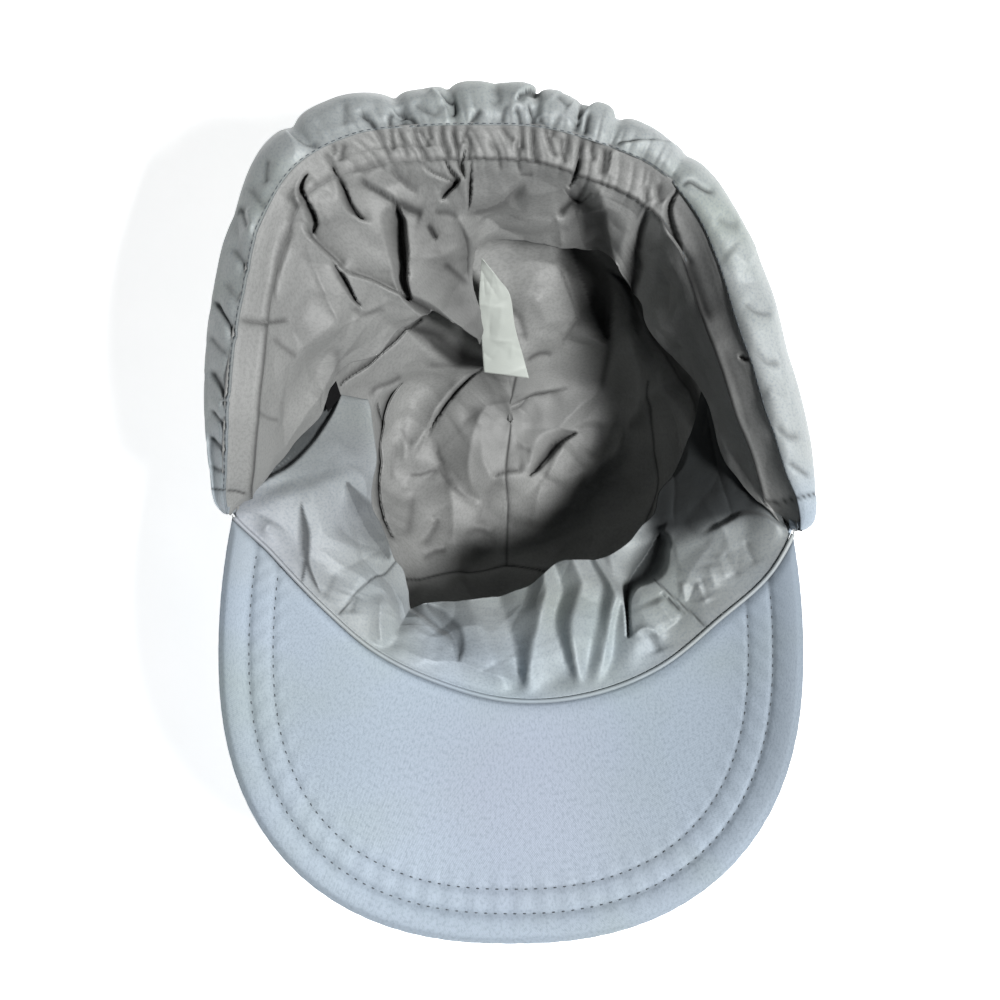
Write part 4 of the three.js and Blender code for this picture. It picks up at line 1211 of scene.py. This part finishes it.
def flap_lining_base(around=500, rows=98):
    """Flap lining without folds: an elastic casing inside the edge seam, then a skirt in to its hem."""
    low, high = FLAP_SPAN
    bearing = np.interp(np.linspace(0, 1, around), [0, 0.18, 0.94, 1], [low, 44, 188, high])
    seam, casing, top, hem_radius, hem_height = (
        along(FLAP, name, bearing) for name in ("seam", "casing", "top", "hem_radius", "hem_height"))
    hem_radius = hem_radius - LOBE_REACH * lobe_share(bearing)
    hem_height = hem_height - LOBE_DROP * lobe_share(bearing)
    left, right = smoothstep(bearing, 132, 150), 1 - smoothstep(bearing, 36, 62)
    drop = CASING_DROP + CASING_DROP_RIGHT * right + CASING_DROP_LEFT * left
    top = top - CASING_TOP
    points = [(seam + 1.2, top + 0.2),
              (mix(seam, casing, 0.45), top - (0.3 + 0.16 * right) * drop),
              (casing, top - drop),
              (mix(casing, hem_radius, 0.36), mix(top - drop, hem_height, 0.32)),
              (mix(casing, hem_radius, 0.72), mix(top - drop, hem_height, 0.68)),
              (hem_radius, hem_height)]
    r, z = section(points, rows)
    ends = end_round(bearing, low, high, 6)[:, None]
    r = mix(seam[:, None], r, ends)
    z = mix(np.minimum(z, rim_height(bearing)[:, None] + 4), z, ends)
    return bearing, ring(bearing[:, None], r, z), r


def flap_lining(finish, thread):
    """Flap lining: puffed gathered casing between two stitch lines, then a slack folded skirt."""
    bearing, grid, r = flap_lining_base()
    seam = along(FLAP, "seam", bearing)[:, None] - 0.3
    band = seam - along(FLAP, "casing", bearing)[:, None]
    inward = -normals(grid)
    turn = bearing[:, None]
    past_casing = seam - r - band
    across = np.clip((seam - r) / band, 0, 1)
    below = np.maximum(past_casing, 0)
    folds, trenches, dark = charted_folds(grid, SKIRT_CREASES, SKIRT_CLEFTS)
    fan = softened(fan_relief(grid, SKIRT_FAN), 3) * smoothstep(past_casing, 0, 6)
    lifted = (folds + trenches + fan) * SKIRT_FULLNESS
    relief = CASING_PUFF * half_wave(across, 0, 1)
    relief += (pleats(turn + 2.2 * across) - 0.5) * 0.55 * smoothstep(across, 0, 0.2) * np.exp(-below / 2.5)
    relief += (creased(grid, 41, 32) * 1.3 + softened(facets(grid, 43, 120, 18) * 2.2, 3)
               + crumple(grid, 42, 60, 12, 0.5, 1.5)) * smoothstep(past_casing, 1, 9)
    relief -= (0.35 + 0.55 * smoothstep(turn, 40, 66)) * bell(past_casing, 0.6)
    front = grid + inward * relief[..., None] + UPWARD * lifted[..., None]
    # painted shade on the lobe that hangs into the bowl and on the casing at the right, beside the dark
    # stitch line of the casing and the painted shade of the charted folds
    painted_lobe_shade = lobe_share(turn) * smoothstep(below, 8, 26)
    right = (1 - smoothstep(turn, 34, 58)) * smoothstep(turn, -6, 16) * (1 - smoothstep(below, 5, 14))
    shade = np.maximum(0.85 * bell(past_casing, 0.32), dark) + 0.42 * painted_lobe_shade + 0.3 * right
    back = front - inward * LINING_WALL
    piece = mesh_piece("flap_inner", back, front, finish, ["flap_lining"], shade=shade)
    sewn = contour(past_casing, 0.0, front)[10:-10]
    stitches("casing_stitches", [sewn], FLAP_STITCH, thread)


FACING_CREASES = [
    (3.2, 9, 3.2, 4, [(343, 482), (376, 512), (396, 556)]),
    (-1.5, 6, -1.5, 6, [(330, 520), (350, 540), (385, 552)]),
    (-0.5, 0.8, -0.5, 0.8, [(397, 560), (385, 574), (372, 579), (356, 593), (339, 615)], "seam"),
    (2.2, 5, 2.2, 2.6, [(379, 595), (378, 622), (383, 650)]),
    (-2.8, 4.5, 1.4, 5, [(402, 610), (420, 619), (440, 632), (453, 643), (457, 662)]),
    (1.6, 1.4, 1.6, 2, [(631, 640), (638, 631), (648, 628), (658, 634), (665, 642)]),
    (-1.6, 3, -1.6, 1.6, [(648, 633), (655, 642), (660, 654)]),
    (1.8, 2, 1.8, 5, [(657, 597), (665, 611), (676, 624)]),
    (-0.5, 0.8, -0.5, 0.8, [(644, 571), (668, 592), (707, 627)], "seam"),
    (1.0, 1.6, 1.0, 1.4, [(682, 581), (683, 590), (686, 601)]),
    (-0.8, 1.4, -0.8, 1.4, [(687, 602), (692, 592), (696, 584)]),
    (1.0, 1.6, 1.0, 1.4, [(697, 582), (702, 592), (707, 604)]),
    (-0.8, 1.4, -0.8, 1.4, [(708, 600), (704, 588), (702, 576)]),
    (0.8, 2.2, 0.8, 2.2, [(716, 590), (712, 576), (709, 564)]),
    (-0.8, 1.8, -0.8, 2, [(739, 578), (731, 563), (724, 550)]),
    (0.8, 2.4, 0.8, 2.4, [(728, 580), (722, 566), (718, 552)]),
    (-0.7, 1.8, -0.7, 2, [(757, 566), (750, 552), (744, 538)]),
    (1.3, 6, 1.3, 2.6, [(398, 646), (430, 661), (457, 662), (480, 669), (522, 683)]),
    (-0.7, 1.0, -0.7, 1.0, [(708, 400), (715, 459), (728, 499), (734, 529)]),
    (-1.2, 4, 2.6, 3.0, [(700, 536), (722, 524), (742, 512), (760, 514), (778, 524), (798, 535)]),
    (-1.0, 1.6, 1.0, 2.4, [(738, 486), (762, 500), (782, 514)]),
    (-0.7, 1.0, -0.7, 1.0, [(672, 433), (676, 480), (675, 532)]),
    (1.6, 3, 1.6, 3, [(272, 520), (262, 535), (255, 541)]),
    (-0.8, 2, -0.8, 2, [(322, 600), (330, 585), (336, 570)]),
    (-0.9, 2, -0.9, 2, [(350, 615), (352, 604), (357, 594)]),
]

# Clefts of the facing: depth, strength of the painted shade and picture points with half widths; a row of
# depth 0 is painted shade alone
FACING_CLEFTS = [
    (4.0, 0.97, [(340, 384, 0.8), (326, 410, 2.0), (306, 438, 2.6), (286, 460, 2.2), (262, 477, 1.4),
                 (243, 491, 0.8), (229, 504, 0.3)]),
    (8.0, 0.97, [(657, 542, 4.0), (647, 557, 6.4), (637, 570, 5.6), (630, 584, 2.6), (628, 602, 0.8),
                 (629, 636, 0.3)]),
    (2.0, 0.97, [(662, 594, 0.2), (672, 603, 0.8), (683, 613, 0.2)]),
    (0.5, 0.85, [(299, 500, 0.1), (300, 514, 1.0), (302, 532, 2.0), (303, 550, 1.9), (306, 565, 1.2),
                 (312, 580, 0.8), (319, 593, 0.3)]),
    (1.2, 0.5, [(426, 608, 0.5), (439, 619, 2.6), (450, 634, 3.6), (456, 648, 2.6), (458, 660, 0.5)]),
    (0.8, 0.8, [(303, 562, 0.8), (302, 574, 0.7), (300, 588, 0.3)]),
    (0.0, 0.97, [(334, 386, 1.5), (321, 408, 3.2), (300, 434, 3.8), (277, 456, 3.2), (254, 474, 2.2),
                 (236, 490, 1.2)]),
    (0.0, 0.72, [(346, 486, 1.5), (355, 506, 5.0), (364, 526, 7.0), (374, 544, 6.0), (384, 556, 2.0)]),
]

# Fold lines that fan out between the brim seam and the free edge: height and picture points from the edge
FACING_FAN = [
    (0, [(398, 566), (392, 600), (385, 648)]),
    (1.0, [(409, 590), (405, 620), (400, 655)]),
    (-0.8, [(440, 602), (437, 630), (434, 668)]),
    (2.6, [(470, 600), (484, 640), (505, 676)]),
    (-3.2, [(499, 600), (512, 640), (522, 690)]),
    (3.0, [(548, 590), (541, 620), (530, 655), (525, 690)]),
    (-2.8, [(562, 590), (556, 625), (566, 655), (578, 690)]),
    (3.0, [(582, 580), (572, 620), (573, 655), (580, 690)]),
    (-1.6, [(604, 585), (598, 620), (590, 655), (584, 690)]),
    (2.4, [(616, 590), (612, 620), (604, 655), (597, 690)]),
    (-1.0, [(624, 596), (614, 620), (612, 650), (606, 686)]),
    (1.0, [(640, 596), (634, 640), (630, 676)]),
    (0, [(660, 580), (668, 610), (672, 650)]),
]


def facing_base(around=470, rows=104):
    """Facing without folds: from the brim seam inward, then down to its free edge."""
    bearing = np.linspace(*FACING_SPAN, around)
    radius, height = along(FACING, "radius", bearing), along(FACING, "height", bearing)
    under_flap = 1 - smoothstep(bearing, 196, 201) + smoothstep(bearing, 335.5, 340)
    top = rim_radius(bearing) - 0.6 - 4.2 * under_flap, rim_height(bearing) + 1.6 - 4.6 * under_flap
    points = [top, (mix(top[0], radius, 0.52), mix(top[1], height, 0.36)), (radius, height)]
    r, z = section(points, rows)
    return ring(bearing[:, None], r, z)


def front_facing(finish):
    """Facing of outer cloth with charted folds that gather at the brim seam and at its free edge."""
    grid = facing_base()
    inward = -normals(grid)
    down = np.linspace(0, 1, grid.shape[1])[None, :]
    folds, trenches, dark = charted_folds(grid, FACING_CREASES, FACING_CLEFTS)
    fan = softened(fan_relief(grid, FACING_FAN), 5) * FACING_FULLNESS * smoothstep(down, 0.02, 0.22)
    lifted = (folds * FACING_FULLNESS + trenches) * smoothstep(down, 0, 0.1) + fan
    relief = (creased(grid, 51, 30) * 0.9 + softened(facets(grid, 53, 60, 18) * 1.4, 3)
              + crumple(grid, 52, 40, 11, 0.4, 1.4)) * smoothstep(down, 0.02, 0.3)
    front = grid + inward * relief[..., None] + UPWARD * lifted[..., None]
    back = front - inward * LINING_WALL
    x, y = grid[..., 0], grid[..., 1]
    # painted shade in the deep hollow at the right, beside the left temple and towards both sides
    painted_hollow_shade = smoothstep(x, 38, 48) * smoothstep(y + 38 - 0.3 * (x - 44), -5, 5)
    painted_temple_shade = smoothstep(-x, 38, 52) * smoothstep(y, -30, 0)
    sides = 0.1 * smoothstep(-x, 48, 70) + 0.14 * smoothstep(x, 34, 56)
    shade = np.maximum(dark * 0.95, 0.88 * painted_hollow_shade + 0.42 * painted_temple_shade + sides)
    piece = mesh_piece("facing", back, front, finish, ["front_facing"], shade=shade)


def outline_radius(bearing):
    """Distance from the bowl axis to the peak's rounded outline, found by halving."""
    inside, beyond = rim_radius(bearing), np.full(np.shape(bearing), 200.0)
    for _ in range(30):
        middle = (inside + beyond) / 2
        place = ring(bearing, middle, 0.0)
        below = np.maximum(OUTLINE_Y - place[..., 1], 0) / OUTLINE_DEPTH
        narrower = 1 - OUTLINE_TAPER * (np.maximum(place[..., 1] - OUTLINE_Y, 0) / TAPER_LENGTH) ** 2
        across = np.abs(place[..., 0] - OUTLINE_X) / (OUTLINE_HALF_WIDTH * narrower)
        out = across**OUTLINE_POWER + below**OUTLINE_POWER > 1
        beyond = np.where(out, middle, beyond)
        inside = np.where(out, inside, middle)
    return inside


def peak_height(x, y):
    """Middle height of the peak: arched up to the sides by x squared, rising a little to the tip."""
    tip = np.maximum(0, (PEAK_FRONT_Y - y) / PEAK_DEPTH) ** 1.3
    return RIM_HEIGHT + 0.6 + SIDE_ARCH * (x / SIDE_REACH) ** 2 + PEAK_TIP_RISE * tip


def distance_to_path(grid, path):
    """Shortest distance seen from above from each grid point to a dense path."""
    flat = grid.reshape(-1, 1, 3)[..., :2]
    nearest = np.full(len(flat), 1e9)
    for part in np.array_split(path[:, :2], max(1, len(path) // 40)):
        nearest = np.minimum(nearest, np.linalg.norm(flat - part[None], axis=2).min(axis=1))
    return nearest.reshape(grid.shape[:2])


def peak(finish, thread):
    """Stiff peak: puffed border roll, a raised band between two sunk stitch rows and a flat field."""
    around, rows = 280, 80
    bearing = np.linspace(*PEAK_SPAN, around)
    down = 1 - (1 - np.linspace(0, 1, rows)) ** 1.7
    rim = rim_radius(bearing)[:, None]
    r = mix(rim + 0.3, outline_radius(bearing)[:, None], down[None, :])
    grid = ring(bearing[:, None], r, 0.0)
    x, y = grid[..., 0], grid[..., 1]
    grid[..., 2] = peak_height(x, y)
    dense = np.linspace(*PEAK_SPAN, 900)
    to_edge = distance_to_path(grid, ring(dense, outline_radius(dense), 0.0))
    to_seam = r - (rim + GAP)
    near_edge, near_inner = to_edge - EDGE_STITCH, to_edge - INNER_STITCH
    rounding = quarter_circle(to_edge / EDGE_ROUNDING)
    puffs = BORDER_PUFF * half_wave(to_edge, 0, EDGE_STITCH)
    puffs += BAND_PUFF * half_wave(to_edge, EDGE_STITCH, INNER_STITCH)
    grooves = 0.3 * bell(near_edge, 0.8) + 0.25 * bell(near_inner, 0.8)
    puckers = 0.1 * np.sin(bearing[:, None] * 2.3) * (bell(near_edge, 3.5) + bell(near_inner, 4))
    uneven = 0.35 * ripple(grid, 61, 70)
    relief = (puffs - grooves + puckers) * rounding + uneven * smoothstep(to_edge, 2, 25)
    relief -= 0.8 * bell(to_seam, 1.6)
    half, lifted = PEAK_WALL / 2 * rounding, smoothstep(to_edge, 0, 2)
    top = grid + UPWARD * (half + relief * lifted)[..., None]
    bottom = grid - UPWARD * (half + (relief - uneven) * lifted)[..., None]
    # dark stitch rows, and painted shade along the seam at the peak's root
    shade = 0.22 * bell(near_edge, 0.45) + 0.22 * bell(near_inner, 0.45) + 0.5 * bell(to_seam, 0.8)
    # painted shade: a little darker towards the right and left corners, lighter at the tip
    shade += 0.06 + 0.16 * smoothstep(x, 25, 92) + 0.12 * smoothstep(x, 74, 88)
    shade += 0.05 * smoothstep(-x, 40, 92) - 0.07 * smoothstep(-y, 100, 150)
    mesh_piece("peak_cover", bottom, top, finish, ["peak"], shade=shade)
    sewn = [contour(to_edge, distance, top)[4:-4] for distance in (EDGE_STITCH, INNER_STITCH)]
    stitches("peak_stitches", sewn, PEAK_STITCH, thread)


def peak_welt(finish):
    """Corded seam between the peak and the facing."""
    bearing = np.linspace(PEAK_SPAN[0] + 0.5, PEAK_SPAN[1] - 0.5, 260)
    height = rim_height(bearing) + PEAK_WALL / 2 + 0.35 + WELT_RADIUS
    cord, faces = tube_parts(ring(bearing, rim_radius(bearing) - 0.05, height), WELT_RADIUS, 10)
    solid("peak_seam_cord", cord, faces, finish, ["peak_welt"])


# Edges of the label from the hem to its free end: picture point and height
LABEL_LEFT = [(482, 258, 66), (479, 297, 57), (481, 332, 47), (484, 372, 38)]
LABEL_RIGHT = [(484, 260, 66.5), (499, 279, 62), (510, 295, 57), (515, 327, 48), (523, 356, 41),
               (529, 378, 37)]

# Corners of the tab: picture point and height
TAB_CORNERS = {"top": (336, 381, 75.5), "right": (341, 396, 75),
               "left": (323, 398, 76), "bottom": (328, 412, 75)}


def label_edge(path, share):
    """One edge of the label at even shares of its length."""
    edge = curve_through([shown(*place) for place in path], 0.5)
    return points_at(share, np.linspace(0, 1, len(edge)), edge)


def care_label(finish):
    """Bare ribbon hanging from under the flap's hem: narrow where it leaves the fold, curled a little."""
    share = np.linspace(0, 1, 90)
    side = np.linspace(0, 1, 26)[:, None, None]
    grid = mix(label_edge(LABEL_LEFT, share)[None], label_edge(LABEL_RIGHT, share)[None], side)
    grid[..., 2] += 1.1 * np.sin(np.pi * side[..., 0]) * np.sin(share * 2.6)[None, :]
    grid[..., 2] += crumple(grid, 71, 26, 6, 0.35, 0.9)
    upper = normals(grid)
    upper *= np.sign(upper[..., 2:3])
    piece = mesh_piece("label_ribbon", grid, grid + upper * RIBBON_WALL, finish, ["care_label"])


def seam_tab(finish):
    """Small loop tab in the slit beside the flap's end."""
    corner = {name: np.array(shown(*place)) for name, place in TAB_CORNERS.items()}
    share = np.linspace(0, 1, 14)[None, :, None]
    side = np.linspace(0, 1, 12)[:, None, None]
    grid = mix(mix(corner["top"], corner["right"], side), mix(corner["left"], corner["bottom"], side), share)
    half = UPWARD * TAB_WALL / 2
    mesh_piece("slit_tab", grid - half, grid + half, finish, ["seam_tab"])


def stage():
    """Pale floor, soft studio light from the right, and the camera straight above."""
    near, far = -FLOOR_REACH, FLOOR_REACH
    corners = [(near, near, 0), (far, near, 0), (far, far, 0), (near, far, 0)]
    data = bpy.data.meshes.new("floor")
    data.from_pydata(corners, [], [(0, 1, 2, 3)])
    floor = bpy.data.objects.new("floor", data)
    bpy.context.scene.collection.objects.link(floor)
    f = Finish("pale_floor")
    grain = f.noise(f.place(), 40, 2, 0.5)
    pale = f.mixed(grain, rgb(246, 247, 247), rgb(250, 250, 250))
    data.materials.append(f.surface(base_color=pale, roughness=0.8, specular_ior_level=0.2,
                                    emission_color=pale, emission_strength=FLOOR_GLOW))
    world = bpy.data.worlds.new("studio")
    bpy.context.scene.world = world
    world.use_nodes = True
    background = world.node_tree.nodes["Background"]
    background.inputs["Color"].default_value = SKY_COLOUR
    background.inputs["Strength"].default_value = SKY
    add_key_light()
    camera_data = bpy.data.cameras.new("camera")
    camera_data.sensor_width = 36
    camera_data.lens = LENS * camera_data.sensor_width
    camera_data.clip_end = 20
    camera = bpy.data.objects.new("camera", camera_data)
    camera.location = np.array(CAMERA) * MM
    bpy.context.scene.collection.objects.link(camera)
    bpy.context.scene.camera = camera
    bpy.context.scene.view_settings.view_transform = "Standard"


def add_key_light():
    """Square soft box aimed at the cap."""
    data = bpy.data.lights.new("key", "AREA")
    data.size, data.energy = KEY_SIZE, KEY_POWER
    light = bpy.data.objects.new("key", data)
    light.location = KEY_PLACE
    aim = Vector(KEY_AIM) - Vector(KEY_PLACE)
    light.rotation_euler = aim.to_track_quat("-Z", "Y").to_euler()
    bpy.context.scene.collection.objects.link(light)


def build():
    """Makes every piece of the cap."""
    outer = outer_finish("outer_taffeta")
    lining = lining_finish("lining_nylon")
    dark_thread = thread_finish("grey_thread", rgb(58, 64, 70), rgb(104, 112, 118))
    crown_shell(outer_finish("crown_taffeta", crumples=0.6))
    crown_lining(lining)
    flap_shell(outer_finish("flap_taffeta", crumples=0.8), dark_thread)
    flap_lining(lining, dark_thread)
    facing = outer_finish("facing_taffeta", -0.105, FACING_SHEEN_SPOT, 0.7)
    front_facing(facing)
    peak(outer, dark_thread)
    peak_welt(facing)
    care_label(ribbon_finish("satin_ribbon"))
    seam_tab(tape_finish("black_tape"))


stage()
build()
